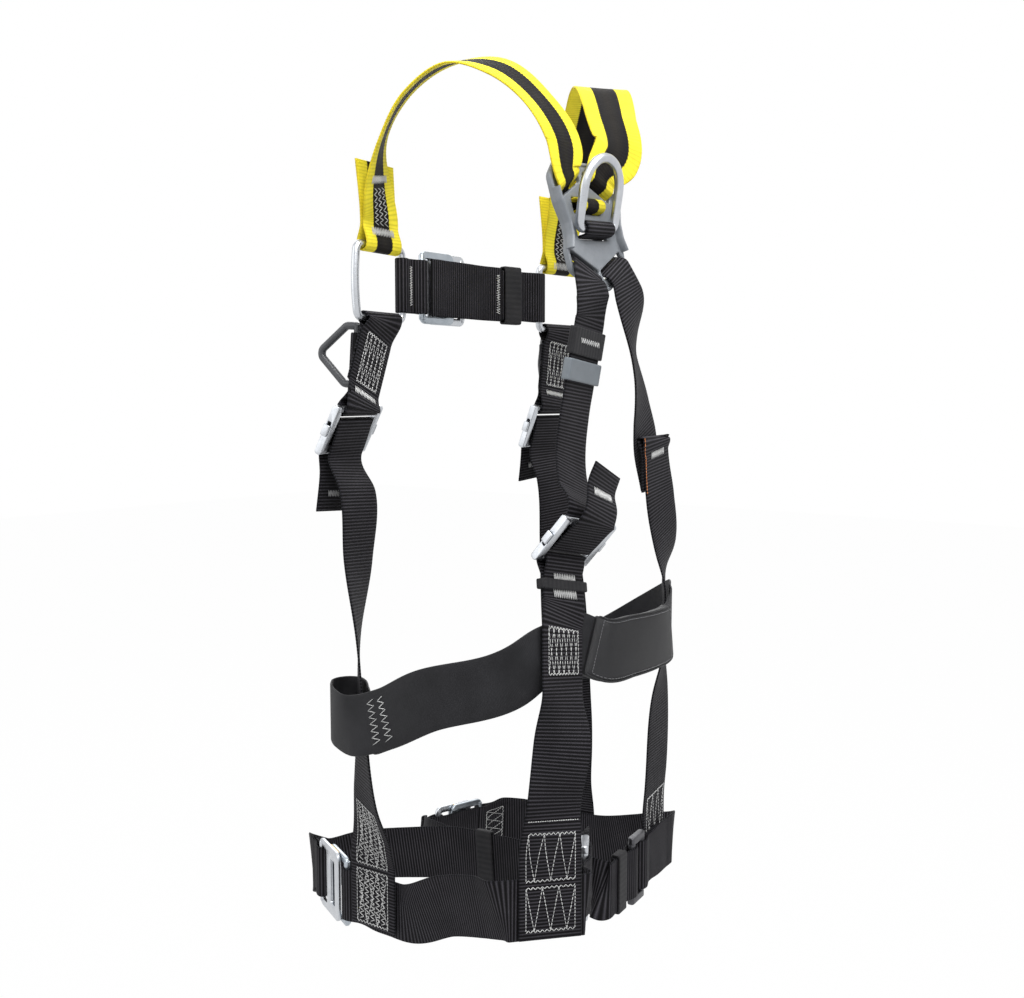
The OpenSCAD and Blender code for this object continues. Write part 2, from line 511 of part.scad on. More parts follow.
module label_sleeve() color("black")
    sleeve(pad_route, band_w + 1, band_t + 2.2, (pad_h - band_w - 1) / 2, pad_wall);

// Dorsal plate and ring
dee_y = plate_t / 2 + 0.6 + dee_wire / 2;
dee_z = 1;
dee_half = dee_w / 2 + dee_wire / 2;
dee_tilt = 24;
roll_z = dee_z + 18;
roll_r = 4.5;
module plate_shape() {
    h = plate_top;
    b = plate_low;
    w = plate_w / 2;
    v = plate_waist / 2;
    half = [[w - 12, h], [w, h - 12], [w - 1, 20], [v, 5], [v, -5], [w - 2, -15], [w - 3, 14 - b], [8, -b]];
    polygon(concat(half, [for (q = flip(half)) [-q.x, q.y]]));
}
module plate_cut() {
    for (s = [-1, 1]) {
        for (v = [-1, 1])
            translate([s * slot_x, v > 0 ? slot_up : -slot_down]) rotate(-s * v * slot_lean)
                square([slot_len, slot_w], center = true);
    }
    translate([0, dee_z]) square([roll_w + 2, 2 * wrap_r(dee_wire) + web_t + 2], center = true);
    translate([0, roll_z]) square([roll_w, 2 * roll_r + web_t + 1], center = true);
}
module dorsal_plate() color("slategray") place(plate_at) rotate([90, 0, 0])
    translate([0, 0, -plate_t / 2]) linear_extrude(plate_t) difference() {
        plate_shape();
        plate_cut();
    }
module dorsal_d_ring() color("silver") place(plate_at) translate([0, dee_y, dee_z])
    rotate([-dee_tilt, 0, 0]) {
    r = 5;
    leg = dee_h - dee_half;
    rod(dee_wire, r - dee_half, dee_half - r);
    for (s = [0, 180])
        rotate([0, 0, s]) {
            translate([dee_half - r, 0, r]) rotate([-90, 0, 0]) bend(dee_wire, r);
            translate([dee_half, 0, r]) cylinder(d = dee_wire, h = leg - r);
        }
    translate([0, 0, leg]) rotate([90, 0, 0]) bend(dee_wire, dee_half, 180);
}
function roll(y, z, r) = let (h = plate_t / 2)
    concat([on(plate_at, -h, z + r, 0, 1), on(plate_at, h, z + r, 0, 1)],
        arc(plate_at, y, z, r, 90, -90, 0),
        [on(plate_at, h, z - r, 0, -1), on(plate_at, -h, z - r, 0, -1)]);
module dorsal_black_roll() color("dimgray") ribbon(roll(dee_y, dee_z, wrap_r(dee_wire)), roll_w);
module dorsal_yellow_roll() color("gold") ribbon(roll(plate_t / 2 + 1, roll_z, roll_r), roll_w - 2);

dorsal_plate();
dorsal_d_ring();
dorsal_black_roll();
dorsal_yellow_roll();
shoulder_strap_left();
shoulder_strap_right();
front_ring_left();
front_ring_right();
front_upper_strap_left();
front_upper_strap_right();
lanyard_tab_left();
lanyard_tab_right();
lanyard_ring_left();
lanyard_ring_right();
front_adjuster_left();
front_adjuster_right();
front_slider_left();
front_slider_right();
front_lower_strap_left();
front_lower_strap_right();
chest_strap_left();
chest_strap_right();
chest_flap();
chest_buckle_frame();
chest_buckle_tongue();
chest_keeper();
back_strap_left();
back_strap_right();
back_keeper();
back_slide_plate();
back_adjuster();
back_slider();
hip_strap_left();
hip_strap_right();
hip_keeper();
seat_band();
label_sleeve();
leg_strap_outer_left();
leg_strap_outer_right();
leg_strap_inner_left();
leg_strap_inner_right();
leg_buckle_frame_left();
leg_buckle_frame_right();
leg_buckle_tongue_left();
leg_buckle_tongue_right();
leg_back_ring_left();
leg_back_ring_right();
leg_keeper_left();
leg_keeper_right();
leg_flap_right();
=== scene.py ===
import bpy
import bmesh
import math
import numpy as np
from mathutils import Matrix, Vector


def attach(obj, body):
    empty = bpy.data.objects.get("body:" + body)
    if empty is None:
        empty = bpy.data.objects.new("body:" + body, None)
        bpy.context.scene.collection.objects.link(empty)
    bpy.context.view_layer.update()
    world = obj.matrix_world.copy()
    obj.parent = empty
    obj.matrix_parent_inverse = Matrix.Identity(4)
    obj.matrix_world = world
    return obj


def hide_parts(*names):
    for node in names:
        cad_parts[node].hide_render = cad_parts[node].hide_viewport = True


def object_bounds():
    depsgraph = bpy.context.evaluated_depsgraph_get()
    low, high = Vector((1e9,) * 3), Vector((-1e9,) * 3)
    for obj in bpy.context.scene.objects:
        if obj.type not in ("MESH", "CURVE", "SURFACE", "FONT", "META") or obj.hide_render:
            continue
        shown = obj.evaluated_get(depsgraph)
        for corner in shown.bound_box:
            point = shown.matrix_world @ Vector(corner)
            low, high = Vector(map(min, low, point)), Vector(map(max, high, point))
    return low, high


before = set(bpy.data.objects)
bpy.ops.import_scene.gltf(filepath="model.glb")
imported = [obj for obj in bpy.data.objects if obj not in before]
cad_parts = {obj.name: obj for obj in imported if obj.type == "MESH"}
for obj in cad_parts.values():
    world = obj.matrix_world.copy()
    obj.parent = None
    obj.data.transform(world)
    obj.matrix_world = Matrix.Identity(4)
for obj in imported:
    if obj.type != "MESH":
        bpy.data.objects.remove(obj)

scene = bpy.context.scene
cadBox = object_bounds()
print("frame loaded:", len(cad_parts), "nodes")


def linked(name, data):  # a new object in the scene
    piece = bpy.data.objects.new(name, data)
    scene.collection.objects.link(piece)
    return piece


# the photograph's view
viewLook = {"place": (0.7256, 0.5509, 0.1), "heading": 128, "dip": 5.2, "focal": 1150, "sensor": 36}
lens = bpy.data.cameras.new("photoView")
lens.sensor_fit = "HORIZONTAL"
lens.sensor_width = viewLook["sensor"]
lens.lens = viewLook["focal"] / 1024 * viewLook["sensor"]
lens.clip_start = 0.01
camera = linked("photoView", lens)
camera.location = viewLook["place"]
camera.rotation_euler = (math.radians(90 - viewLook["dip"]), 0, math.radians(viewLook["heading"]))
scene.camera = camera

# sizes in millimetres, the same as the solids
web = {"wide": 45, "thick": 2, "gather": 3, "seam": 0.3, "barGap": 0.4, "returnLen": 34, "flat": 3, "lead": 15,
       "sideGap": 1.4, "ringFlap": 62, "turnStep": 28}
metal = {"ringWire": 6, "ringBend": 4.5, "deeWire": 7, "deeWide": 39, "deeHigh": 50, "adjBar": 6, "adjPitch": 34,
         "rail": 6, "sliderHigh": 7, "sliderThick": 2.4, "sliderTravel": 3, "buckleBar": 5, "buckleThick": 3,
         "buckleLen": 34, "tongueLen": 28, "parkHigh": 50, "parkWide": 38, "parkWire": 6, "runGap": 0.4}
ply = web["thick"] + web["seam"]
clearHalf = (web["wide"] - web["gather"]) / 2 + web["sideGap"]
ringHalf = clearHalf + metal["ringBend"]
railMid = clearHalf + metal["rail"] / 2
adjEnd = metal["adjPitch"] / 2
frameZ = -metal["buckleLen"] * 0.7
tongueY = metal["buckleThick"] + metal["runGap"]
tongueZ = metal["tongueLen"] - 2
backRingZ = 9
sewnAt = 39
frontSewnAt = 32
parkSwing = 45
legPly = 1.5 * ply + 0.6

# place, bearing of the outward face, lean, roll
plateAt = ((15, 68, 218), 90, 12, 4)
ringLeft = ((93, -70, 184), -84, 0, 0)
ringRight = ((-121, -57, 184), -95, 0, 0)
adjLeft = ((119, -78, 74), -80, 28, 0)
adjRight = ((-112, -64, 72), -92, 22, 0)
adjBack = ((60, 87, -4), 76, -38, 166)
chestAt = ((22, -70, 184), -91, 0, 90)
legFrontLeft = ((105, -113, -292), -24, 0, 90)
legFrontRight = ((-74, -136, -312), 264, 0, -86)
legBackLeft = ((41, 84.5, -258), 122, 0, 90)
legSewnLeft = ((99, 94, -257), 50, 0, 90)
legBackRight = ((-68, 62, -292), 98, 0, -90)
hipLeftAt = ((78, 90, -80), 88, 8, 0)
hipRightAt = ((-103, 65, -80), 122, 0, 0)


def cosd(a):
    return math.cos(math.radians(a))


def sind(a):
    return math.sin(math.radians(a))


def facing(az, el=0):
    return np.array((cosd(el) * cosd(az), cosd(el) * sind(az), sind(el)))


def turned(f, v):  # a vector of a local frame, seen from the wearer
    x, y, z = v
    x, z = x * cosd(f[3]) + z * sind(f[3]), z * cosd(f[3]) - x * sind(f[3])
    y, z = y * cosd(f[2]) - z * sind(f[2]), y * sind(f[2]) + z * cosd(f[2])
    a = f[1] - 90
    return np.array((x * cosd(a) - y * sind(a), x * sind(a) + y * cosd(a), z))


def put(f, v):
    return np.array(f[0], float) + turned(f, v)


def station(p, n, tuck=0):  # place, face, tuck
    return np.concatenate([p, n, (tuck,)])


def at(x, y, z, az, el=0, tuck=0):
    return station((x, y, z), facing(az, el), tuck)


def on(f, y, z, ny=1, nz=0, tuck=0, x=0):
    return station(put(f, (x, y, z)), turned(f, (0, ny, nz)), tuck)


def arc(f, y, z, r, a0, a1, tuck=web["gather"]):
    n = math.ceil(abs(a1 - a0) / web["turnStep"])
    turns = [a0 + (a1 - a0) * k / n for k in range(n + 1)]
    return [on(f, y + r * cosd(a), z + r * sind(a), cosd(a), sind(a), tuck) for a in turns]


def unit(v):
    return v / np.linalg.norm(v)


def about(route):  # the same run seen from its other face
    return [station(s[:3], -s[3:6], s[6]) for s in route]


def moved(s, out=0, up=0, side=0):
    n = s[3:6]
    return station(s[:3] + n * out + np.array((-n[1], n[0], 0)) * side + np.array((0, 0, up)), n, s[6])


def wrapR(d):
    return d / 2 + web["barGap"] + web["thick"] / 2


def linkRun(f1, z1, d1, f2, z2, d2, y1=0, s=1):  # a closed link of webbing round two bars
    g = web["gather"]
    p = put(f1, (0, y1, z1))
    v = put(f2, (0, 0, z2)) - p
    n = s * unit(turned(f1, (0, 1, 0)) + turned(f2, (0, 1, 0)))
    e = n * ply / 2
    k = 0.24 if np.linalg.norm(v) > 50 else 0.36
    b = min(k + web["flat"] / np.linalg.norm(v), 0.44)
    return ([station(p + v * t - e, -n, g) for t in (0.52, b, k)]
            + arc(f1, y1, z1, wrapR(d1), 270 - 90 * s, 270 + 90 * s)
            + [station(p + v * t + e, n, g) for t in (k, b, 1 - b, 1 - k)]
            + arc(f2, 0, z2, wrapR(d2), 90 - 90 * s, 90 + 90 * s)
            + [station(p + v * t - e, -n, g) for t in (1 - k, 1 - b, 0.55)])


def barLoop(f, z, d, way, reach, y=0):  # an end turned round a bar and sewn back
    flat = {reach: 0, web["lead"] + web["flat"]: web["gather"], web["lead"]: web["gather"]}
    return ([on(f, y - ply / 2, z + way * t, -1, 0, tuck) for t, tuck in flat.items()]
            + arc(f, y, z, wrapR(d), 180, 180 + way * 180)
            + [on(f, y + ply / 2, z + way * t, 1, 0, flat[t]) for t in list(flat)[::-1]])


def releaned(f, z, lean):  # the frame of one bar, leaning another way
    d = turned(f, (1, 0, 0))
    roll = 180 - math.degrees(math.asin(-d[2] / cosd(lean)))
    turn = math.degrees(math.atan2(d[1], d[0]) - math.atan2(sind(roll) * sind(lean), cosd(roll)))
    return (tuple(put(f, (0, 0, z))), 90 + turn, lean, roll)


hipBar = releaned(adjBack, adjEnd, 14)
plateSize = {"wide": 80, "top": 52, "low": 44, "waist": 68, "thick": 4, "slotWide": 8, "slotSpare": 1.2}
plateThick, slotLean = plateSize["thick"], 26
slotX, slotLen = plateSize["wide"] * 0.23, plateSize["wide"] * 0.44
slotUp, slotDown = plateSize["top"] - 18, plateSize["low"] - 19
slotTuck = web["wide"] + plateSize["slotSpare"] - slotLen
slotOut, slotEnd = plateThick / 2 + 3.8, -plateSize["low"] - 5  # where a back strap leaves the plate


def slotOn(sx, sz, y, s):
    z = sz * ((slotUp if sz > 0 else slotDown) + s * cosd(slotLean))
    return on(plateAt, y, z, 1, 0, slotTuck, sx * (slotX + s * sind(slotLean)))


def slotPath(sx, sz, layer):  # from behind the plate out through a slot
    y = -plateThick / 2 - 2.6 * (1 + layer)
    return [slotOn(sx, sz, y, s) for s in (-22, -13, -4)] + [
        slotOn(sx, sz, plateThick / 2 + 3, 4), slotOn(sx, sz, slotOut, 9)]


def ringEnd(f):  # a shoulder strap's turn round its front ring, and the flap
    r, g = wrapR(metal["ringWire"]), web["gather"]
    near, far = (ringHalf + web["lead"] + z for z in (0, web["flat"]))
    turns = [on(f, r * cosd(a), ringHalf + r * sind(a), -cosd(a), -sind(a), g) for a in range(180, 361, 30)]
    flap = [on(f, ply / 2, z, -1, 0, g) for z in (near, far)] + [on(f, ply / 2 + 3, ringHalf + web["ringFlap"], -1)]
    return [on(f, -ply / 2, z, tuck=g) for z in (far, near)] + turns + flap


def sliderWrap(f):  # webbing rolled round an adjuster's sliding bar
    w, g = wrapR(metal["adjBar"]), web["gather"]
    turn = metal["sliderHigh"] / 2 + metal["sliderTravel"]
    return ([on(f, w + 0.6, -adjEnd, tuck=g)]
            + arc(f, 0, turn, metal["sliderThick"] / 2 + web["barGap"] + web["thick"] / 2, 0, 180)
            + [on(f, -w - 0.6, -adjEnd + 4, -1, 0, g), on(f, -w - 1, -adjEnd - 2, -1, 0, g)])


def tabOn(adj, ring, t):  # where a lanyard tab is sewn on a front strap
    p = put(adj, (0, 0, adjEnd))
    v = put(ring, (0, 0, -ringHalf)) - p
    u = unit(v)
    m = turned(adj, (0, 1, 0)) + turned(ring, (0, 1, 0))
    n = unit(m - u * np.dot(m, u))
    return (tuple(p + v * t + n * (1.5 * ply + 0.5)), math.degrees(math.atan2(n[1], n[0])),
            math.degrees(math.asin(n[2])), 90)


tabLeft = tabOn(adjLeft, ringLeft, 0.58)
tabRight = tabOn(adjRight, ringRight, 0.58)
tabSize = {"out": 6, "bend": 1.8, "reach": 16, "spare": 4}
parkY, tabBend = metal["parkWire"] / 2 + tabSize["out"], tabSize["bend"]
tabWide = metal["parkHigh"] - 2 * metal["parkWire"] - tabSize["spare"]


def tabFoot(f, s):
    r = wrapR(metal["parkWire"])
    return [on(f, 0, s * tabSize["reach"])] + [
        on(f, tabBend * (1 - sind(a)), s * (r + tabBend * (1 - cosd(a))), sind(a), s * cosd(a)) for a in (90, 45, 0)]


def tabRun(f):
    return tabFoot(f, -1) + arc(f, parkY, 0, wrapR(metal["parkWire"]), -90, 90, 0) + tabFoot(f, 1)[::-1]


ringSideLeft = (tuple(put(ringLeft, (ringHalf, 0, 0))), -88, 0, 90)
ringSideRight = (tuple(put(ringRight, (-ringHalf, 0, 0))), -92, 0, 90)
shoulderLeft = slotPath(1, 1, 0) + [
    at(40, 62, 280, 90, 20), at(48, 44, 312, 84, 40), at(62, 18, 335, 62, 56), at(79, -12, 338, 0, 74),
    at(94, -40, 318, -44, 40), at(101, -58, 286, -50, 16), at(98, -66, 250, -72, 4)] + ringEnd(ringLeft)
shoulderRight = slotPath(-1, 1, 1) + [
    at(-20, 68, 280, 76, 14), at(-32, 54, 314, 62, 28), at(-52, 34, 338, 55, 62), at(-76, 12, 344, 235, 80),
    at(-101, -14, 326, 238, 48), at(-117, -38, 290, 250, 20), at(-122, -52, 252, 264, 4)] + ringEnd(ringRight)
backLeft = slotPath(1, -1, 0) + [
    on(plateAt, slotOut, slotEnd, tuck=web["gather"], x=slotX + 4),
    at(32.5, 81, 154.4, 98), at(33, 80.5, 150, 98), at(35.5, 78, 128, 98), at(38, 75.5, 106, 98),
    at(40.5, 73, 84, 98), at(46, 74, 52, 96), at(52, 82, 32, 92)]
backRight = slotPath(-1, -1, 1) + [
    on(plateAt, slotOut, slotEnd, tuck=web["gather"], x=-slotX - 9),
    at(-42, 73, 120, 122), at(-64, 65, 86, 106), at(-74, 63, 60, 98), at(-82, 61, 28, 108)]
frontLeft = [at(119, -70, 28, 100), at(122, -67, -24, 108), at(127, -63, -80, 132), at(130, -58, -140, 142),
             at(132, -53, -200, 156), at(122, -56, -236, 174)]
frontRight = [at(-113, -57, 26, 86), at(-117, -54, -30, 78), at(-124, -53, -90, 60), at(-130, -54, -140, 55),
              at(-136, -56, -190, 48), at(-140, -58, -226, 28), at(-143, -59, -262, 12)]
seatFrontRight = at(-146, -58, -316, 188)
seatLeftBack = on(legSewnLeft, legPly, 0)
seatRightBack = on(legBackRight, -legPly, backRingZ + sewnAt - 3)
hipLeft = [on(hipLeftAt, 0, z, x=-z / 6) for z in (16, 0, -16, -30)] + [
    at(90, 99, -140, 62), at(99, 98, -186, 68)]
hipRight = ([at(-78, 71, 52, 96), at(-84, 72, 14, 92), at(-97, 70, -26, 100)]
            + [on(hipRightAt, 0, z, x=z / 8) for z in (26, 0, -26)]
            + [at(-108, 59, -152, 104), at(-110, 55, -226, 98)])
legStraight = [at(7, -64 + 26 * k, -288 + 2 * k, 180) for k in range(4)]
chestRight = linkRun(chestAt, tongueZ, metal["buckleBar"], ringSideRight, 0, metal["ringWire"], tongueY)
legLeadLeft = (put(legFrontLeft, (0, 0, frameZ)), 2, 0, 90)
outerLeft = (barLoop(legLeadLeft, 0, metal["buckleBar"], -1, web["returnLen"] - 4)
             + [on(legLeadLeft, ply / 2, z) for z in (-46, -60)] + [at(115, 14, -273, 0), at(119, 47, -263, 2)]
             + [on(legSewnLeft, ply / 2, z) for z in (30, 22, 0, -21, -26)]
             + barLoop(legBackLeft, backRingZ, metal["adjBar"], 1, web["returnLen"] - 10)[::-1])
outerRight = (barLoop(legFrontRight, frameZ, metal["buckleBar"], -1, web["returnLen"])
              + [at(-142, -114, -316, 222)] + [moved(seatFrontRight, side=x) for x in (25, 0, -25)]
              + [at(-148, 18, -304, 156)] + [on(legBackRight, ply / 2, z) for z in (76, 60)]
              + barLoop(legBackRight, backRingZ, metal["adjBar"], 1, web["returnLen"])[::-1])
innerLeft = (barLoop(legFrontLeft, tongueZ, metal["buckleBar"], 1, 22, tongueY)
             + [at(72, -167, -303, -76), at(42, -152, -301, -118), at(18, -110, -295, -154)] + legStraight
             + [at(7, 40, -280, 178), on(legBackLeft, ply / 2, -backRingZ - 30)]
             + barLoop(legBackLeft, -backRingZ, metal["adjBar"], -1, 24)[::-1])
innerRight = (barLoop(legFrontRight, tongueZ, metal["buckleBar"], 1, 20, tongueY)
              + [at(-18, -126, -302, -40), at(-9, -80, -298, -6), at(-10, -30, -293, 4), at(-11, 16, -290, 6),
                 at(-14, 46, -290, 24), on(legBackRight, ply / 2, -backRingZ - 46)]
              + barLoop(legBackRight, -backRingZ, metal["adjBar"], -1, web["returnLen"])[::-1])

bandSize = {"wide": 44, "thick": 1.8, "wrapD": 5.6, "side": 5.0, "loose": 14, "step": 0.9, "ribPitch": 1.8,
            "ribDepth": 0.05}


def bandWrap(s, way, loose):  # the band's turn round a front strap
    n = -s[3:6]
    e = np.array((-n[1], n[0], 0)) * way
    h, d = web["wide"] / 2 + 1, bandSize["wrapD"]
    c = s[:3] - e * h + n * loose / 2
    turns = [n * cosd(a) - e * sind(a) for a in range(0, 181, 30)]
    return ([station(s[:3] + e * h + n * (d + loose * 0.4), n), station(s[:3] + n * (d + loose), n)]
            + [station(c + t * (d + loose / 2), t) for t in turns]
            + [station(s[:3] - n * d, -n), station(s[:3] + e * h - n * d, -n)])


seatMain = ([at(151, -16, -131, -16), at(148, 22, -112, 12), at(116, 74, -94, 56)]
            + [on(hipLeftAt, -bandSize["side"], -x / 8, x=x) for x in (24, 0, -24)]
            + [at(34, 96, -86, 86, 8), at(4, 99, -87, 90, 4), at(-30, 98, -88, 92), at(-58, 93, -88, 98)]
            + [on(hipRightAt, bandSize["side"], 0, x=x) for x in (24, 0, -24)]
            + [at(-146, 22, -100, 164), at(-152, -14, -122, 186)])


def bandEnd(s):
    return station(s[:3] - s[3:6] * (bandSize["thick"] + web["seam"]), -s[3:6])


seatRoute = ([bandEnd(seatMain[0])] + bandWrap(frontLeft[3], 1, bandSize["loose"])[::-1] + seatMain
             + bandWrap(frontRight[3], -1, 0) + [bandEnd(seatMain[-1])])
deeY = plateThick / 2 + 0.6 + metal["deeWire"] / 2
deeZ, deeTilt = 1, 24
rollWide, rollR, rollUp = 36, 4.5, 18  # the yellow roll is higher by the last


def rollRun(y, z, r):  # a short roll of webbing pushed through the plate
    h = plateThick / 2
    return ([on(plateAt, -h, z + r, 0, 1), on(plateAt, h, z + r, 0, 1)] + arc(plateAt, y, z, r, 90, -90, 0)
            + [on(plateAt, h, z - r, 0, -1), on(plateAt, -h, z - r, 0, -1)])


def toward(a, b, t, out=0):  # part of the way between two stations
    return station(a[:3] + (b[:3] - a[:3]) * t + a[3:6] * out, a[3:6])


def flapOn(f):  # loose webbing behind a buckle
    return [on(f, -1.4 * metal["buckleThick"], z) for z in (-17, 4, 25)]


# two stations of the right chest strap, halfway between its layers
chestMid = [station(chestRight[k][:3] - chestRight[k][3:6] * ply / 2, chestRight[k][3:6]) for k in (11, 14)]
g = web["gather"]
adjBar, ringWire = metal["adjBar"], metal["ringWire"]
sewnDown = (38, 25, 0, -21)  # where the hip straps lie flat on the leg loops
straps = {
    "shoulder_strap_left": {"route": shoulderLeft, "finish": "yellow"},
    "shoulder_strap_right": {"route": shoulderRight, "finish": "yellow"},
    "back_strap_left": {"route": about(backLeft) + sliderWrap(adjBack)[::-1]
                        + [on(adjBack, wrapR(adjBar) + 1.4, -adjEnd - 5, tuck=g), at(55, 107, 21, 92, 0, g),
                           at(51, 104, 34, 96, 0, g), at(46, 106, 47, 100)]},
    "back_strap_right": {"route": backRight},
    "front_upper_strap_left": {"route": linkRun(adjLeft, adjEnd, adjBar, ringLeft, -ringHalf, ringWire, s=-1)},
    "front_upper_strap_right": {"route": linkRun(adjRight, adjEnd, adjBar, ringRight, -ringHalf, ringWire, s=-1)},
    "front_lower_strap_left": {"route": [at(124, -90, 12, -80), at(122, -89, 40, -80, 0, g)] + sliderWrap(adjLeft)
                               + frontLeft + [on(legLeadLeft, legPly + 0.7, -frontSewnAt, -1, 0, 0, x)
                                              for x in (-36, -24, 0, 18)]},
    "front_lower_strap_right": {"route": [at(-115, -80, 24, -92), at(-113, -77, 46, -92, 0, g)]
                                + sliderWrap(adjRight) + frontRight
                                + [moved(about([moved(seatFrontRight, ply)])[0], up=z) for z in (22, -22)]},
    "chest_strap_left": {"route": linkRun(ringSideLeft, 0, ringWire, chestAt, frameZ, metal["buckleBar"])},
    "chest_strap_right": {"route": chestRight},
    "chest_flap": {"route": flapOn(chestAt) + [toward(*chestMid, t, -1.5 * ply) for t in (0.06, 0.2, 0.42)]},
    "leg_flap_right": {"route": flapOn(legFrontRight) + [
        on(legFrontRight, tongueY - 1.5 * ply - (43 - z) / 3, z) for z in (33, 38, 42)]},
    "hip_strap_left": {"route": [on(hipBar, -ply / 2, z, -1, 0, 0 if z > 18 else g) for z in (30, 18, 15)]
                       + arc(hipBar, 0, 0, wrapR(adjBar), 180, 360)
                       + [on(hipBar, ply / 2, z, 1, 0, 0 if z > 18 else g) for z in (15, 18, 23, 31)]
                       + hipLeft + [moved(seatLeftBack, up=z) for z in sewnDown]},
    "hip_strap_right": {"route": [at(-80, 69.5, 24, -88), at(-77, 69, 56, -84), at(-76, 70.2, 66, 0, 90),
                                  at(-76.2, 71.6, 64, 96)] + hipRight
                        + [moved(seatRightBack, up=z) for z in sewnDown]},
    "leg_strap_outer_left": {"route": outerLeft},
    "leg_strap_outer_right": {"route": outerRight},
    "leg_strap_inner_left": {"route": innerLeft},
    "leg_strap_inner_right": {"route": innerRight},
    "lanyard_tab_left": {"route": tabRun(tabLeft), "wide": tabWide},
    "lanyard_tab_right": {"route": tabRun(tabRight), "wide": tabWide},
    "dorsal_black_roll": {"route": rollRun(deeY, deeZ, wrapR(metal["deeWire"])), "wide": rollWide},
    "dorsal_yellow_roll": {"route": rollRun(plateThick / 2 + 1, deeZ + rollUp, rollR), "wide": rollWide - 2,
                           "finish": "yellow"},
}


mm = 0.001
weaveLook = {"step": 0.6, "fine": 0.5, "base": 1.76, "ribPitch": 2.47, "ribDepth": 0.17,
             "selvedge": 3}


def unitRows(v):
    return v / np.linalg.norm(v, axis=1)[:, None]


def runAlong(route, step):  # even stations along a smooth route
    r = np.array(route)
    c = np.linalg.norm(np.diff(r[:, :3], axis=0), axis=1)
    m = np.empty_like(r)
    m[0], m[-1] = (r[1] - r[0]) / c[0], (r[-1] - r[-2]) / c[-1]
    a, b = c[:-1, None], c[1:, None]
    m[1:-1] = (b * (r[1:-1] - r[:-2]) / a + a * (r[2:] - r[1:-1]) / b) / (a + b)
    fine = []
    for i in range(len(r) - 1):
        n = max(2, math.ceil(c[i] / weaveLook["fine"]))
        t = (np.arange(n) / n)[:, None]
        fine.append((1 + 2 * t) * (1 - t) ** 2 * r[i] + t * (1 - t) ** 2 * c[i] * m[i]
                    + t * t * (3 - 2 * t) * r[i + 1] + t * t * (t - 1) * c[i] * m[i + 1])
    fine = np.concatenate(fine + [r[-1:]])
    s = np.concatenate([[0], np.cumsum(np.linalg.norm(np.diff(fine[:, :3], axis=0), axis=1))])
    even = np.linspace(0, s[-1], max(3, math.ceil(s[-1] / step) + 1))
    q = np.stack([np.interp(even, s, fine[:, j]) for j in range(7)], axis=1)
    u = np.gradient(q[:, :3], axis=0)
    side = unitRows(np.cross(u, q[:, 3:6]))
    up = unitRows(np.cross(side, u))
    return {"s": even, "p": q[:, :3], "side": side, "up": up, "tuck": q[:, 6]}


def runPoint(run, s):  # place, side and face of a run at one length
    value = [np.interp(s, run["s"], run[key][:, j]) for key in ("p", "side", "up") for j in range(3)]
    return np.array(value[:3]), np.array(value[3:6]), np.array(value[6:])


def smoothFaces(mesh):
    mesh.polygons.foreach_set("use_smooth", [True] * len(mesh.polygons))


def meshPiece(name, verts, faces, uvs=None):
    mesh = bpy.data.meshes.new(name)
    mesh.from_pydata(np.asarray(verts).tolist(), [], faces)
    smoothFaces(mesh)
    if uvs is not None:
        layer = mesh.uv_layers.new(name="weave")
        loops = np.empty(len(mesh.loops), dtype=np.int32)
        mesh.loops.foreach_get("vertex_index", loops)
        layer.data.foreach_set("uv", np.asarray(uvs, dtype=np.float32)[loops].ravel())
    mesh.update()
    return linked(name, mesh)


def plainMesh(piece):  # what the modifiers give, as a mesh of its own
    bpy.context.view_layer.update()
    deps = bpy.context.evaluated_depsgraph_get()
    mesh = bpy.data.meshes.new_from_object(piece.evaluated_get(deps), preserve_all_data_layers=True, depsgraph=deps)
    piece.modifiers.clear()
    old, piece.data = piece.data, mesh
    bpy.data.meshes.remove(old)


def shapedBy(piece, tree, sockets, values):  # the piece as a tree of nodes makes it
    nodes = piece.modifiers.new("shape", "NODES")
    nodes.node_group = tree
    for label, value in values.items():
        nodes[sockets[label]] = value
    plainMesh(piece)


def finishPiece(piece, material, nodes, body="webbing"):
    piece.data.materials.clear()
    piece.data.materials.append(material)
    if nodes:
        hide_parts(*nodes)
    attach(piece, body)


def gridFaces(rows, count, first=0, closed=False):  # quads between rings of points
    faces = []
    for i in range(rows if closed else rows - 1):
        a, b = first + i * count, first + (i + 1) % rows * count
        faces += [[a + k, a + (k + 1) % count, b + (k + 1) % count, b + k] for k in range(count)]
    return faces


def capFaces(rows, count):
    return [list(range(count)), [(rows - 1) * count + k for k in range(count)]]


# one cross-section of webbing, from edge to edge and back: place and share of the ribs
def webSection(half, thick):
    q = thick / 2
    across = [(-half, 0.0, 0), (-half + 0.35 * q, 0.72 * q, 0.3), (-half + 1.1 * q, q, 0.8)]
    across += [(half * a, q, 1) for a in (-0.7, -0.45, -0.2)]
    across += [(0, q, 1)] + [(-x, y, r) for x, y, r in across[::-1]]
    return across + [(x, -y, r) for x, y, r in across[-2:0:-1]]


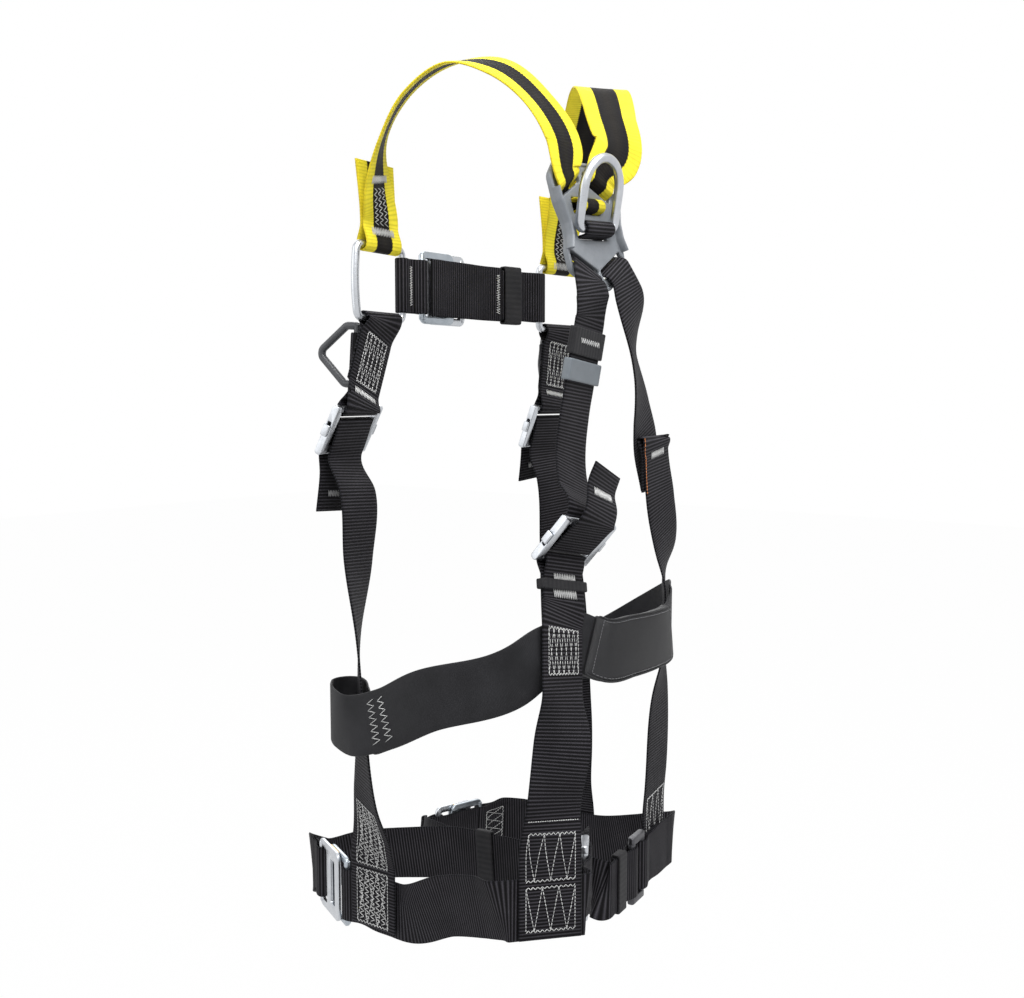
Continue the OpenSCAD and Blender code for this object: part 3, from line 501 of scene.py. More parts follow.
def strapMesh(name, run, wide, thick):
    n = len(run["s"])
    half = (wide - run["tuck"]) / 2
    nominal = 1000
    section = np.array(webSection(nominal, thick))
    m = len(section)
    edge = nominal - np.abs(section[:, 0])
    verts, across = np.empty((n, m, 3)), np.empty((n, m))
    for k, (x, up) in enumerate(section[:, :2]):  # the selvedges keep their size on a narrowed strap
        x = half * x / nominal if edge[k] > weaveLook["selvedge"] else np.sign(x) * (half - edge[k])
        across[:, k] = x / half
        verts[:, k] = run["p"] + run["side"] * x[:, None] + run["up"] * up
    faces = [quad[::-1] for quad in gridFaces(n, m)]
    for base, step in ((0, 1), ((n - 1) * m, -1)):  # closed ends
        for k in range(m // 2):
            quad = list(dict.fromkeys([base + k, base + k + 1, base + (m - k - 1) % m, base + (m - k) % m]))
            faces.append(quad[::step])
    along = np.repeat(run["s"] * mm, m)
    piece = meshPiece(name, verts.reshape(-1, 3) * mm, faces, np.stack([along, ((across + 1) / 2).ravel()], axis=1))
    for label, values in (("along", along), ("ribbed", np.tile(section[:, 2], n))):
        piece.data.attributes.new(label, "FLOAT", "POINT").data.foreach_set("value", values.astype(np.float32))
    return piece


def newTree(name, inputs):
    tree = bpy.data.node_groups.new(name, "GeometryNodeTree")
    tree.interface.new_socket("Geometry", in_out="INPUT", socket_type="NodeSocketGeometry")
    sockets = {}
    for label, kind, value in inputs:
        item = tree.interface.new_socket(label, in_out="INPUT", socket_type=kind)
        if value is not None:
            item.default_value = value
        sockets[label] = item.identifier
    tree.interface.new_socket("Geometry", in_out="OUTPUT", socket_type="NodeSocketGeometry")
    return tree, sockets, tree.nodes.new("NodeGroupInput").outputs


def addNode(tree, kind, links=None, **settings):
    node = tree.nodes.new(kind)
    for key, value in settings.items():
        setattr(node, key, value)
    for socket, source in (links or {}).items():
        if isinstance(source, bpy.types.NodeSocket):
            tree.links.new(source, node.inputs[socket])
        else:
            node.inputs[socket].default_value = source
    return node


def mathNode(tree, op, a, b=None):
    return addNode(tree, "ShaderNodeMath", {0: a} if b is None else {0: a, 1: b}, operation=op).outputs[0]


def endTree(tree, geometry, material):  # plain geometry with its material
    plain = addNode(tree, "GeometryNodeRealizeInstances", {"Geometry": geometry})
    dressed = addNode(tree, "GeometryNodeSetMaterial", {"Geometry": plain.outputs[0], "Material": material})
    addNode(tree, "NodeGroupOutput", {"Geometry": dressed.outputs[0]})


# ribs across the webbing, raised by nodes from the length along the strap
def ribTree():
    tree, sockets, enter = newTree("webbingRibs", [
        ("Rib pitch", "NodeSocketFloat", weaveLook["ribPitch"] * mm),
        ("Rib depth", "NodeSocketFloat", weaveLook["ribDepth"] * mm),
        ("Webbing", "NodeSocketMaterial", None)])
    along, ribbed = [addNode(tree, "GeometryNodeInputNamedAttribute", {"Name": name}, data_type="FLOAT").outputs[
        "Attribute"] for name in ("along", "ribbed")]
    angle = mathNode(tree, "MULTIPLY", mathNode(tree, "DIVIDE", along, enter["Rib pitch"]), math.pi)
    ridge = mathNode(tree, "POWER", mathNode(tree, "ABSOLUTE", mathNode(tree, "SINE", angle)), 0.8)
    depth = mathNode(tree, "MULTIPLY", mathNode(tree, "MULTIPLY", ridge, enter["Rib depth"]), ribbed)
    normal = addNode(tree, "GeometryNodeInputNormal").outputs[0]
    lift = addNode(tree, "ShaderNodeVectorMath", {0: normal, "Scale": depth}, operation="SCALE").outputs[0]
    shaped = addNode(tree, "GeometryNodeSetPosition", {"Geometry": enter["Geometry"], "Offset": lift})
    endTree(tree, shaped.outputs[0], enter["Webbing"])
    return tree, sockets


ribs = ribTree()


def frameMatrix(f):  # a local frame in metres
    cols = [turned(f, v) for v in ((1, 0, 0), (0, 1, 0), (0, 0, 1))]
    return Matrix([[*(cols[j][i] for j in range(3)), f[0][i] * mm] for i in range(3)] + [[0, 0, 0, 1]])


def roundedLoop(corners, radius, seg=6):
    pts = []
    n = len(corners)
    for i in range(n):
        p, a, b = (np.array(corners[j % n], float) for j in (i, i - 1, i + 1))
        r = radius[i] if isinstance(radius, (list, tuple)) else radius
        la, lb = np.linalg.norm(a - p), np.linalg.norm(b - p)
        u, v = (a - p) / la, (b - p) / lb
        half = math.acos(max(-1, min(1, float(u @ v)))) / 2
        if r <= 0 or half > 1.55:
            pts.append(p)
            continue
        cut = min(r / math.tan(half), 0.49 * la, 0.49 * lb)
        r = cut * math.tan(half)
        mid = p + (u + v) / np.linalg.norm(u + v) * r / math.sin(half)
        a0 = math.atan2(*(p + u * cut - mid)[::-1])
        turn = (math.atan2(*(p + v * cut - mid)[::-1]) - a0 + math.pi) % (2 * math.pi) - math.pi
        pts += [mid + r * np.array((math.cos(a0 + turn * k / seg), math.sin(a0 + turn * k / seg)))
                for k in range(seg + 1)]
    return pts


def evenNormals(mesh, merge=True, sharp=38):
    bm = bmesh.new()
    bm.from_mesh(mesh)
    if merge:
        bmesh.ops.remove_doubles(bm, verts=bm.verts, dist=1e-6)
    bmesh.ops.recalc_face_normals(bm, faces=bm.faces)
    bm.to_mesh(mesh)
    bm.free()
    smoothFaces(mesh)
    mesh.set_sharp_from_angle(angle=math.radians(sharp))
    mesh.update()
    return mesh


planeXz = Matrix(((1, 0, 0, 0), (0, 0, -1, 0), (0, 1, 0, 0), (0, 0, 0, 1)))
planeYz = Matrix(((0, 0, 1, 0), (1, 0, 0, 0), (0, 1, 0, 0), (0, 0, 0, 1)))


def stamped(loops, thick, bevel, basis, shift=(0, 0, 0)):  # a pressed plate, in millimetres
    data = bpy.data.curves.new("blank", "CURVE")
    data.dimensions, data.fill_mode = "2D", "BOTH"
    data.extrude = (thick / 2 - bevel) * mm
    data.bevel_depth, data.bevel_resolution = bevel * mm, 3
    data.offset = -bevel * mm
    for loop in loops:
        spline = data.splines.new("POLY")
        spline.points.add(len(loop) - 1)
        for point, xy in zip(spline.points, loop):
            point.co = (xy[0] * mm, xy[1] * mm, 0, 1)
        spline.use_cyclic_u = True
    blank = linked("blank", data)
    bpy.context.view_layer.update()
    mesh = bpy.data.meshes.new_from_object(blank.evaluated_get(bpy.context.evaluated_depsgraph_get()))
    bpy.data.objects.remove(blank)
    mesh.transform(Matrix.Translation(Vector(shift) * mm) @ basis)
    return evenNormals(mesh)


def barMesh(verts, faces):
    mesh = bpy.data.meshes.new("bar")
    mesh.from_pydata((np.array(verts) * mm).tolist(), [], faces)
    return evenNormals(mesh)


def bentBar(path, radius, closed=True, flat=1.0, plane=(0, 1, 0), sides=20):  # a bar bent along a flat path
    p = np.array(path, float)
    axis = np.array(plane, float)
    t = np.roll(p, -1, axis=0) - np.roll(p, 1, axis=0) if closed else np.gradient(p, axis=0)
    out = unitRows(np.cross(unitRows(t), axis))
    a = np.arange(sides) * 2 * math.pi / sides
    ring = out[:, None] * np.cos(a)[None, :, None] * radius + axis * (np.sin(a) * radius * flat)[None, :, None]
    faces = gridFaces(len(p), sides, closed=closed) + ([] if closed else capFaces(len(p), sides))
    return barMesh((p[:, None] + ring).reshape(-1, 3), faces)


def straightBar(half, radius, z, y=0, crown=0.8):  # a round bar with softened ends
    ends = [(-half, radius - crown), (-half + 0.3 * crown, radius - 0.3 * crown), (-half + crown, radius)]
    ends += [(-x, r) for x, r in ends[::-1]]
    sides = 24
    verts = [(x, y + r * math.cos(k * 2 * math.pi / sides), z + r * math.sin(k * 2 * math.pi / sides))
             for x, r in ends for k in range(sides)]
    return barMesh(verts, gridFaces(len(ends), sides) + capFaces(len(ends), sides))


def joined(name, meshes, f=None):
    bm = bmesh.new()
    for mesh in meshes:
        bm.from_mesh(mesh)
        bpy.data.meshes.remove(mesh)
    whole = bpy.data.meshes.new(name)
    bm.to_mesh(whole)
    bm.free()
    if f is not None:
        whole.transform(frameMatrix(f))
    return linked(name, whole)


def sleeveOutline(w, t, r, sides=8):  # a rounded oblong with extra points along the two long sides
    pts = roundedLoop([(-w / 2, -t / 2), (w / 2, -t / 2), (w / 2, t / 2), (-w / 2, t / 2)], r, 4)
    loop = []
    for i, p in enumerate(pts):
        q = pts[(i + 1) % len(pts)]
        loop.append(p)
        if i % 5 == 4 and abs(q[0] - p[0]) > t:
            loop += [p + (q - p) * k / sides for k in range(1, sides)]
    return np.array(loop)


def sleeveMesh(name, run, inWide, inThick, wall, soft=1.2):
    n = len(run["s"])
    inner = sleeveOutline(inWide, inThick, min(soft, inThick * 0.45))
    m = len(inner)
    sections = []
    for s in run["s"]:  # the outside, drawn in at both ends
        draw = 1 - min(1, min(s, run["s"][-1] - s) / 0.8)
        sections.append(sleeveOutline(inWide + 2 * wall - 0.5 * draw, inThick + 2 * wall - 0.7 * draw, soft + 0.6))
    verts = [run["p"][i % n] + run["side"][i % n] * section[:, :1] + run["up"][i % n] * section[:, 1:]
             for i, section in enumerate(sections + [inner] * n)]
    faces = [quad[::-1] for quad in gridFaces(n, m)] + gridFaces(n, m, n * m)
    faces += [[i * m + k, i * m + (k + 1) % m, (n + i) * m + (k + 1) % m, (n + i) * m + k]
              for i in (0, n - 1) for k in range(m)]
    uvs = np.stack([np.tile(np.repeat(run["s"] * mm, m), 2), np.tile(np.arange(m) / m, 2 * n)], axis=1)
    piece = meshPiece(name, np.concatenate(verts) * mm, faces, uvs)
    evenNormals(piece.data, False, 50)
    return piece


class Look:  # one material and the nodes that feed it
    def __init__(self, name, **constants):
        self.material = bpy.data.materials.new(name)
        self.material.use_nodes = True
        self.tree = self.material.node_tree
        self.shader = self.tree.nodes["Principled BSDF"]
        for socket, value in constants.items():
            self.shader.inputs[socket.replace("_", " ")].default_value = value
        self.place = addNode(self.tree, "ShaderNodeTexCoord").outputs["Object"]

    def feed(self, socket, source):
        self.tree.links.new(source, self.shader.inputs[socket])
        return source

    def maths(self, op, a, b=None):
        return mathNode(self.tree, op, a, b)

    def wave(self, a, rate):
        return self.maths("SINE", self.maths("MULTIPLY", a, rate))

    def blend(self, a, shareA, b, shareB):
        return self.maths("ADD", self.maths("MULTIPLY", a, shareA), self.maths("MULTIPLY", b, shareB))

    def parts(self, vector):
        return addNode(self.tree, "ShaderNodeSeparateXYZ", {0: vector}).outputs

    def weaveParts(self):  # metres along a strap, and 0 to 1 across it
        return self.parts(addNode(self.tree, "ShaderNodeUVMap", uv_map="weave").outputs[0])[:2]

    def noise(self, scale, detail=3, rough=0.55, where=None):
        return addNode(self.tree, "ShaderNodeTexNoise", {
            "Vector": self.place if where is None else where, "Scale": scale, "Detail": detail,
            "Roughness": rough}).outputs["Fac"]

    def ramp(self, fac, stops):
        node = addNode(self.tree, "ShaderNodeValToRGB", {"Fac": fac})
        while len(node.color_ramp.elements) < len(stops):
            node.color_ramp.elements.new(0.5)
        for element, (place, colour) in zip(node.color_ramp.elements, stops):
            element.position, element.color = place, (*colour, 1)
        return node.outputs["Color"]

    def colour(self, fac, stops):
        self.feed("Base Color", self.ramp(fac, stops))

    def greyRamp(self, fac, stops):
        return self.ramp(fac, [(place, (grey, grey, grey)) for place, grey in stops])

    def times(self, a, b):  # one colour multiplied by another
        return addNode(self.tree, "ShaderNodeMix", {0: 1.0, 6: a, 7: b}, data_type="RGBA",
                       blend_type="MULTIPLY").outputs[2]

    def roughness(self, fac, low, high, start=0, stop=1):
        self.feed("Roughness", addNode(self.tree, "ShaderNodeMapRange", {
            "Value": fac, "From Min": start, "From Max": stop, "To Min": low, "To Max": high}).outputs[0])

    def bump(self, height, strength, distance, under=None):
        inputs = {"Height": height, "Strength": strength, "Distance": distance}
        if under is not None:
            inputs["Normal"] = under
        return self.feed("Normal", addNode(self.tree, "ShaderNodeBump", inputs).outputs[0])


# colour across the webbing's width, from one selvedge to the other
lemon, lemonDeep, coal, soot = (0.94, 0.80, 0.05), (0.76, 0.60, 0.03), (0.010, 0.0095, 0.011), (0.005, 0.005, 0.006)
webColours = {
    "blackWebbing": [(0.0, soot), (0.03, coal), (0.5, (0.011, 0.0105, 0.012)), (0.97, coal), (1.0, soot)],
    "yellowWebbing": [(0.0, lemonDeep), (0.03, lemon), (0.27, lemon), (0.285, coal), (0.5, (0.018, 0.016, 0.014)),
                      (0.715, coal), (0.73, lemon), (0.97, lemon), (1.0, lemonDeep)],
}
# painted shade in a rib's groove and a painted highlight on its crest, as a factor on the webbing's colour
ribPaintedLight = {"blackWebbing": [(0.0, 0.35), (0.6, 0.8), (0.9, 3.0), (1.0, 5.6)],
             "yellowWebbing": [(0.0, 0.80), (0.5, 0.95), (0.85, 1.0), (1.0, 1.04)]}
yarns = 46  # across the width


def webbingLook(name):
    pitch = weaveLook["ribPitch"] * mm
    look = Look(name, Roughness=0.62, Sheen_Weight=0.015, Sheen_Roughness=0.4, Specular_IOR_Level=0.07)
    along, across = look.weaveParts()
    rib = look.maths("ABSOLUTE", look.wave(along, math.pi / pitch))
    yarn = look.wave(across, 2 * math.pi * yarns)
    step = look.maths("SINE", look.blend(along, 2 * math.pi / pitch, across, math.pi * yarns))
    jag = look.maths("ADD", across, look.maths("MULTIPLY", step, 0.006))
    fuzz, slow = look.noise(900, 2), look.noise(34)
    # the stripe colours times painted rib light: painted shade in the grooves, painted highlights on the crests
    stripesWithPaintedRibLight = look.times(look.ramp(jag, webColours[name]), look.greyRamp(rib, ribPaintedLight[name]))
    look.feed("Base Color", look.times(stripesWithPaintedRibLight, look.greyRamp(slow, [(0.3, 0.78), (0.7, 1.12)])))
    look.roughness(fuzz, 0.48, 0.74)
    threads = look.maths("ADD", fuzz, look.maths("MULTIPLY", step, 0.3))
    look.bump(look.maths("ADD", look.maths("MULTIPLY", yarn, 0.35), threads), 0.5, 0.00022)
    return look.material


blackWebbing = webbingLook("blackWebbing")
yellowWebbing = webbingLook("yellowWebbing")

# flat elastic: fine lines along its length, close cross threads
elasticLook = {"dark": (0.010, 0.010, 0.0115), "light": (0.026, 0.026, 0.029), "lines": 60, "pitch": 0.9}


def elasticMaterial(name, tones):
    look = Look(name, Roughness=0.7, Sheen_Weight=0.04, Sheen_Roughness=0.45, Specular_IOR_Level=0.2)
    along, across = look.weaveParts()
    lines = look.wave(across, 2 * math.pi * tones["lines"])
    knit = look.blend(lines, 0.5, look.wave(along, 2 * math.pi / (tones["pitch"] * mm)), 0.4)
    slow = look.noise(45, 4)
    fac = look.maths("ADD", look.maths("MULTIPLY", knit, 0.22), slow)
    look.colour(fac, [(0.25, tones["dark"]), (0.8, tones["light"])])
    look.roughness(slow, 0.55, 0.8)
    look.bump(knit, 0.45, 0.0002)
    return look.material


bandElastic = elasticMaterial("bandElastic", elasticLook)
keeperElastic = elasticMaterial("keeperElastic", {**elasticLook, "dark": (0.012, 0.012, 0.014),
                                                  "light": (0.030, 0.029, 0.031), "lines": 44})

# coated pack cloth of the padded sleeve
clothLook = {"dark": (0.007, 0.007, 0.008), "light": (0.020, 0.020, 0.022), "threads": 1300}


def clothMaterial(name, tones):
    look = Look(name, Roughness=0.6, Sheen_Weight=0.06, Sheen_Roughness=0.35, Specular_IOR_Level=0.3)
    axes = look.parts(look.place)
    weave = look.maths("MULTIPLY", *[look.wave(axes[k], 2 * math.pi * tones["threads"]) for k in (0, 2)])
    slow = look.noise(28, 4)
    fac = look.maths("ADD", look.maths("MULTIPLY", weave, 0.16), slow)
    look.colour(fac, [(0.25, tones["dark"]), (0.8, tones["light"])])
    look.roughness(slow, 0.46, 0.7)
    look.bump(look.noise(120), 0.25, 0.0006, look.bump(weave, 0.35, 0.00015))
    return look.material


padCloth = clothMaterial("padCloth", clothLook)

# zinc plated steel: cool, softly mottled, brushed along the bar
steelLook = {"light": (0.60, 0.62, 0.65), "dark": (0.48, 0.50, 0.53), "rough": (0.24, 0.38)}


def steelMaterial(name, tones):
    look = Look(name, Metallic=1.0, Roughness=0.3)
    stretch = addNode(look.tree, "ShaderNodeMapping", {"Vector": look.place, "Scale": (160, 160, 1800)}).outputs[0]
    brush, scuff = look.noise(1.0, 2, where=stretch), look.noise(42, 6, 0.7)
    look.colour(look.noise(70, 4, 0.6), [(0.25, tones["dark"]), (0.7, tones["light"])])
    look.roughness(look.blend(brush, 0.5, scuff, 0.5), *tones["rough"], 0.3, 0.7)
    look.bump(look.maths("ADD", brush, scuff), 0.12, 0.0002)
    return look.material


zincSteel = steelMaterial("zincSteel", steelLook)
plateSteel = steelMaterial("plateSteel", {"light": (0.46, 0.50, 0.54), "dark": (0.34, 0.38, 0.42),
                                          "rough": (0.24, 0.42)})
darkSteel = steelMaterial("darkSteel", {"light": (0.12, 0.12, 0.13), "dark": (0.06, 0.06, 0.065),
                                        "rough": (0.34, 0.5)})
brassPin = steelMaterial("brassPin", {"light": (0.82, 0.58, 0.20), "dark": (0.60, 0.38, 0.09),
                                      "rough": (0.2, 0.34)})

# moulded plastics with a fine grain and paler rubbed patches
plasticLook = {"body": (0.18, 0.195, 0.215), "rubbed": (0.26, 0.275, 0.295), "rough": (0.34, 0.52)}


def plasticMaterial(name, tones):
    look = Look(name, Roughness=0.45, Specular_IOR_Level=0.5)
    slow = look.noise(60, 5, 0.65)
    look.colour(slow, [(0.35, tones["body"]), (0.75, tones["rubbed"])])
    look.roughness(slow, *tones["rough"], 0.3, 0.7)
    look.bump(look.noise(1500, 2), 0.25, 0.00012)
    return look.material


platePlastic = plasticMaterial("platePlastic", plasticLook)
slidePlastic = plasticMaterial("slidePlastic", {**plasticLook, "body": (0.13, 0.15, 0.17),
                                                "rubbed": (0.19, 0.21, 0.23)})
ringPlastic = plasticMaterial("ringPlastic", {"body": (0.035, 0.037, 0.042), "rubbed": (0.075, 0.078, 0.085),
                                              "rough": (0.3, 0.45)})


# sewing thread, twisted and slightly soiled
def threadMaterial(name, pale, soiled):
    look = Look(name, Roughness=0.6, Sheen_Weight=0.3, Specular_IOR_Level=0.4)
    twist = look.noise(2600, 2)
    fac = look.blend(twist, 0.35, look.noise(70, 4), 0.65)
    look.colour(fac, [(0.3, soiled), (0.6, pale)])
    look.bump(twist, 0.5, 0.0002)
    return look.material


paleThread = threadMaterial("paleThread", (0.66, 0.66, 0.65), (0.36, 0.36, 0.36))
greyThread = threadMaterial("greyThread", (0.16, 0.16, 0.17), (0.07, 0.07, 0.075))
orangeThread = threadMaterial("orangeThread", (0.75, 0.24, 0.05), (0.5, 0.14, 0.03))
print("finishes made:", len(bpy.data.materials))

runs = {}
for strapName, strap in straps.items():
    runs[strapName] = runAlong(strap["route"], weaveLook["step"])
    piece = strapMesh(strapName + "_web", runs[strapName], strap.get("wide", web["wide"]), weaveLook["base"])
    yellow = strap.get("finish") == "yellow"
    webbing = yellowWebbing if yellow else blackWebbing
    shapedBy(piece, *ribs, {"Webbing": webbing})
    finishPiece(piece, webbing, [strapName])
print("webbing made:", len(runs), "straps")

runs["seat_band"] = runAlong(seatRoute, bandSize["step"])
piece = strapMesh("seat_band_elastic", runs["seat_band"], bandSize["wide"],
                  bandSize["thick"] - 2 * bandSize["ribDepth"])
shapedBy(piece, *ribs, {"Webbing": bandElastic, "Rib depth": bandSize["ribDepth"] * mm,
                        "Rib pitch": bandSize["ribPitch"] * mm})
finishPiece(piece, bandElastic, ["seat_band"])


def evenLoop(loop, pitch):  # the same closed path with points between its corners
    corners = np.array(loop)
    points = []
    for start, stop in zip(corners, np.roll(corners, -1, axis=0)):
        count = max(1, int(np.linalg.norm(stop - start) / pitch))
        points += [start + (stop - start) * k / count for k in range(count)]
    return points


def rectLoop(x0, x1, z0, z1, r=0.0, seg=6):
    return roundedLoop([(x0, z0), (x1, z0), (x1, z1), (x0, z1)], r, seg)


def steelPiece(name, bits, f, node, body="webbing", look=zincSteel):
    finishPiece(joined(name, bits, f), look, [node] if node else [], body)


# square rings of round wire, the free side bent outward
ringBow = 2.4
squareLoop = roundedLoop([(ringHalf, ringHalf), (-ringHalf, ringHalf), (-ringHalf, -ringHalf), (ringHalf, -ringHalf)],
                         metal["ringBend"], 10)
for node, f, free in (("front_ring_left", ringLeft, -1), ("front_ring_right", ringRight, 1)):
    path = [(x + free * ringBow * max(0, x * free / ringHalf) ** 8 * (1 - (z / ringHalf) ** 2), 0, z)
            for x, z in evenLoop(squareLoop, 3)]
    steelPiece(node + "_wire", [bentBar(path, metal["ringWire"] / 2)], f, node)

# the dorsal ring: a straight bar, two legs and a bow
deeHalf = metal["deeWide"] / 2 + metal["deeWire"] / 2
leg = metal["deeHigh"] - deeHalf
deeLoop = roundedLoop([(-deeHalf, leg), (-deeHalf, 0), (deeHalf, 0), (deeHalf, leg)], [0, 5, 5, 0], 10)
deeLoop += [(deeHalf * cosd(a), leg + deeHalf * sind(a)) for a in range(6, 180, 6)]
dee = bentBar([(x, 0, z) for x, z in deeLoop], metal["deeWire"] / 2, sides=28)
dee.transform(Matrix.Translation(Vector((0, deeY, deeZ)) * mm) @ Matrix.Rotation(math.radians(-deeTilt), 4, "X"))
steelPiece("dorsal_ring_bow", [dee], plateAt, "dorsal_d_ring", "dorsal_d_ring")

# moulded rings that hold a lanyard hook
parkLook = {"tip": 2.6, "waist": 10, "soft": 5, "foot": 1.5}
parkHalf = (metal["parkHigh"] - metal["parkWire"]) / 2
parkOut = metal["parkWide"] - metal["parkWire"]
parkSide = [(-parkHalf, 0), (-parkHalf, parkLook["waist"]), (-parkLook["tip"], parkOut)]
parkBend = [parkLook["foot"], parkLook["soft"], 5]
parkLoop = roundedLoop(parkSide + [(-x, y) for x, y in parkSide[::-1]], parkBend + parkBend[::-1], 8)
for node, f, swing in (("lanyard_ring_left", tabLeft, 0), ("lanyard_ring_right", tabRight, parkSwing)):
    ring = bentBar([(x, parkY + y * cosd(swing), y * sind(swing)) for x, y in parkLoop], metal["parkWire"] / 2,
                   plane=(0, -sind(swing), cosd(swing)))
    bits = [ring, straightBar(parkHalf + 1, metal["parkWire"] / 2, 0, parkY)]
    finishPiece(joined(node + "_moulding", bits, f), ringPlastic, [node], node)

# sliding bar adjusters
adjusterLook = {"edge": 0.5, "corner": 2.2, "slotCorner": 0.5, "barCorner": 0.6, "knob": 1, "knobThick": 3,
                "knobCorner": 0.8, "knobEdge": 0.6}
railHalf, railHigh = metal["rail"] / 2, (metal["adjPitch"] + metal["adjBar"]) / 2
slotHigh = (metal["sliderHigh"] + metal["sliderTravel"]) / 2 + metal["runGap"]
slotThick, slotMid = metal["sliderThick"] / 2 + metal["runGap"], metal["sliderTravel"] / 2
barReach, barHigh = clearHalf + metal["rail"] + metal["runGap"], metal["sliderHigh"] / 2
railLoops = [rectLoop(-railHalf, railHalf, -railHigh, railHigh, adjusterLook["corner"]),
             rectLoop(-slotThick, slotThick, slotMid - slotHigh, slotMid + slotHigh, adjusterLook["slotCorner"])]
knob = adjusterLook["knob"]
for node, slider, f in (("front_adjuster_left", "front_slider_left", adjLeft),
                        ("front_adjuster_right", "front_slider_right", adjRight),
                        ("back_adjuster", "back_slider", adjBack)):
    bits = [stamped(railLoops, metal["rail"], adjusterLook["edge"], planeYz, (s * railMid, 0, 0)) for s in (-1, 1)]
    bits += [straightBar(railMid, metal["adjBar"] / 2, s * adjEnd) for s in (-1, 1)]
    steelPiece(node + "_frame", bits, f, node)
    bits = [stamped([rectLoop(-barReach, barReach, -barHigh, barHigh, adjusterLook["barCorner"])],
                    metal["sliderThick"], adjusterLook["edge"], planeXz)]
    for s in (-1, 1):
        mid = s * (barReach + knob)
        outline = rectLoop(mid - knob, mid + knob, -barHigh - knob, barHigh + knob, adjusterLook["knobCorner"])
        bits.append(stamped([outline], metal["sliderThick"] + adjusterLook["knobThick"], adjusterLook["knobEdge"],
                            planeXz))
    steelPiece(slider + "_bar", bits, f, slider, slider)

# pass through buckles: a windowed frame and a hooked plate
buckleLook = {"corner": 6, "edge": 0.9, "nose": 8, "hook": 15, "foot": 3.5, "grip": (-6, 4), "gripIn": 4, "loop": 13,
              "window": 2, "pin": 1.2, "pinIn": 1.6, "pinSteps": (-9, -3, 3, 9)}
outerHalf, barHalf = clearHalf + metal["rail"], metal["buckleBar"] / 2
buckleEnd = frameZ + metal["buckleLen"]
frameLoops = [rectLoop(-outerHalf, outerHalf, frameZ - barHalf, buckleEnd + barHalf, buckleLook["corner"]),
              rectLoop(-clearHalf, clearHalf, frameZ + barHalf, buckleEnd - buckleLook["nose"], buckleLook["window"])]
gripHalf = clearHalf - buckleLook["gripIn"]
tongueLoops = [rectLoop(-outerHalf, outerHalf, -buckleLook["hook"], tongueZ + buckleLook["foot"], buckleLook["corner"]),
               rectLoop(-gripHalf, gripHalf, *buckleLook["grip"], buckleLook["window"]),
               rectLoop(-clearHalf, clearHalf, buckleLook["loop"], tongueZ - barHalf, buckleLook["window"])]
pinX, pinY = outerHalf - buckleLook["pinIn"], tongueY - metal["buckleThick"] / 2 - 0.1
for node, f in (("chest_buckle_frame", chestAt), ("leg_buckle_frame_left", legFrontLeft),
                ("leg_buckle_frame_right", legFrontRight)):
    bits = [stamped(frameLoops, metal["buckleThick"], buckleLook["edge"], planeXz),
            straightBar(railMid, barHalf, frameZ)]
    steelPiece(node + "_pressing", bits, f, node, look=plateSteel)
    node = node.replace("frame", "tongue")
    body = node.replace("_buckle", "")
    bits = [stamped(tongueLoops, metal["buckleThick"], buckleLook["edge"], planeXz, (0, tongueY, 0)),
            straightBar(railMid, barHalf, tongueZ, tongueY)]
    steelPiece(node + "_pressing", bits, f, node, body)
    pins = [bentBar([(s * pinX, pinY, z) for z in buckleLook["pinSteps"]], buckleLook["pin"], False, sides=12)
            for s in (-1, 1)]
    steelPiece(node + "_pins", pins, f, None, body, brassPin)

# two-bar rings at the back of the leg loops
backRingLook = {"corner": 2.4, "edge": 0.9}
backHigh = backRingZ + metal["adjBar"] / 2
backLoop = rectLoop(-railHalf, railHalf, -backHigh, backHigh, backRingLook["corner"])
for node, f, steel in (("leg_back_ring_left", legBackLeft, zincSteel),
                       ("leg_back_ring_right", legBackRight, darkSteel)):
    bits = [stamped([backLoop], metal["rail"], backRingLook["edge"], planeYz, (s * railMid, 0, 0)) for s in (-1, 1)]
    bits += [straightBar(railMid, metal["adjBar"] / 2, s * backRingZ) for s in (-1, 1)]
    steelPiece(node + "_frame", bits, f, node, look=steel)
print("metalwork made")

# dorsal plate: hourglass moulding with slots, a raised rim and two side flanges
plateLook = {"rim": 1.5, "edge": 1.1, "flange": 1.5, "flangeHigh": 3.0, "inset": 1.6, "slotCorner": 1.5,
             "cutCorner": 1.2}
w, h, b, v = plateSize["wide"] / 2, plateSize["top"], plateSize["low"], plateSize["waist"] / 2
plateHalf = [(w - 12, h), (w, h - 12), (w - 1, 20), (v, 5), (v, -5), (w - 2, -15), (w - 3, 14 - b), (8, -b)]
plateBend = [6, 8, 10, 12, 10, 6, 8, 5]
plateOutline = roundedLoop(plateHalf + [(-x, z) for x, z in plateHalf[::-1]], plateBend + plateBend[::-1], 6)


def slantedSlot(sx, sz):
    a = -sx * sz * slotLean
    z0 = slotUp if sz > 0 else -slotDown
    long, wide = slotLen / 2, plateSize["slotWide"] / 2
    loop = rectLoop(-long, long, -wide, wide, plateLook["slotCorner"])
    return [(sx * slotX + x * cosd(a) - y * sind(a), z0 + x * sind(a) + y * cosd(a)) for x, y in loop]


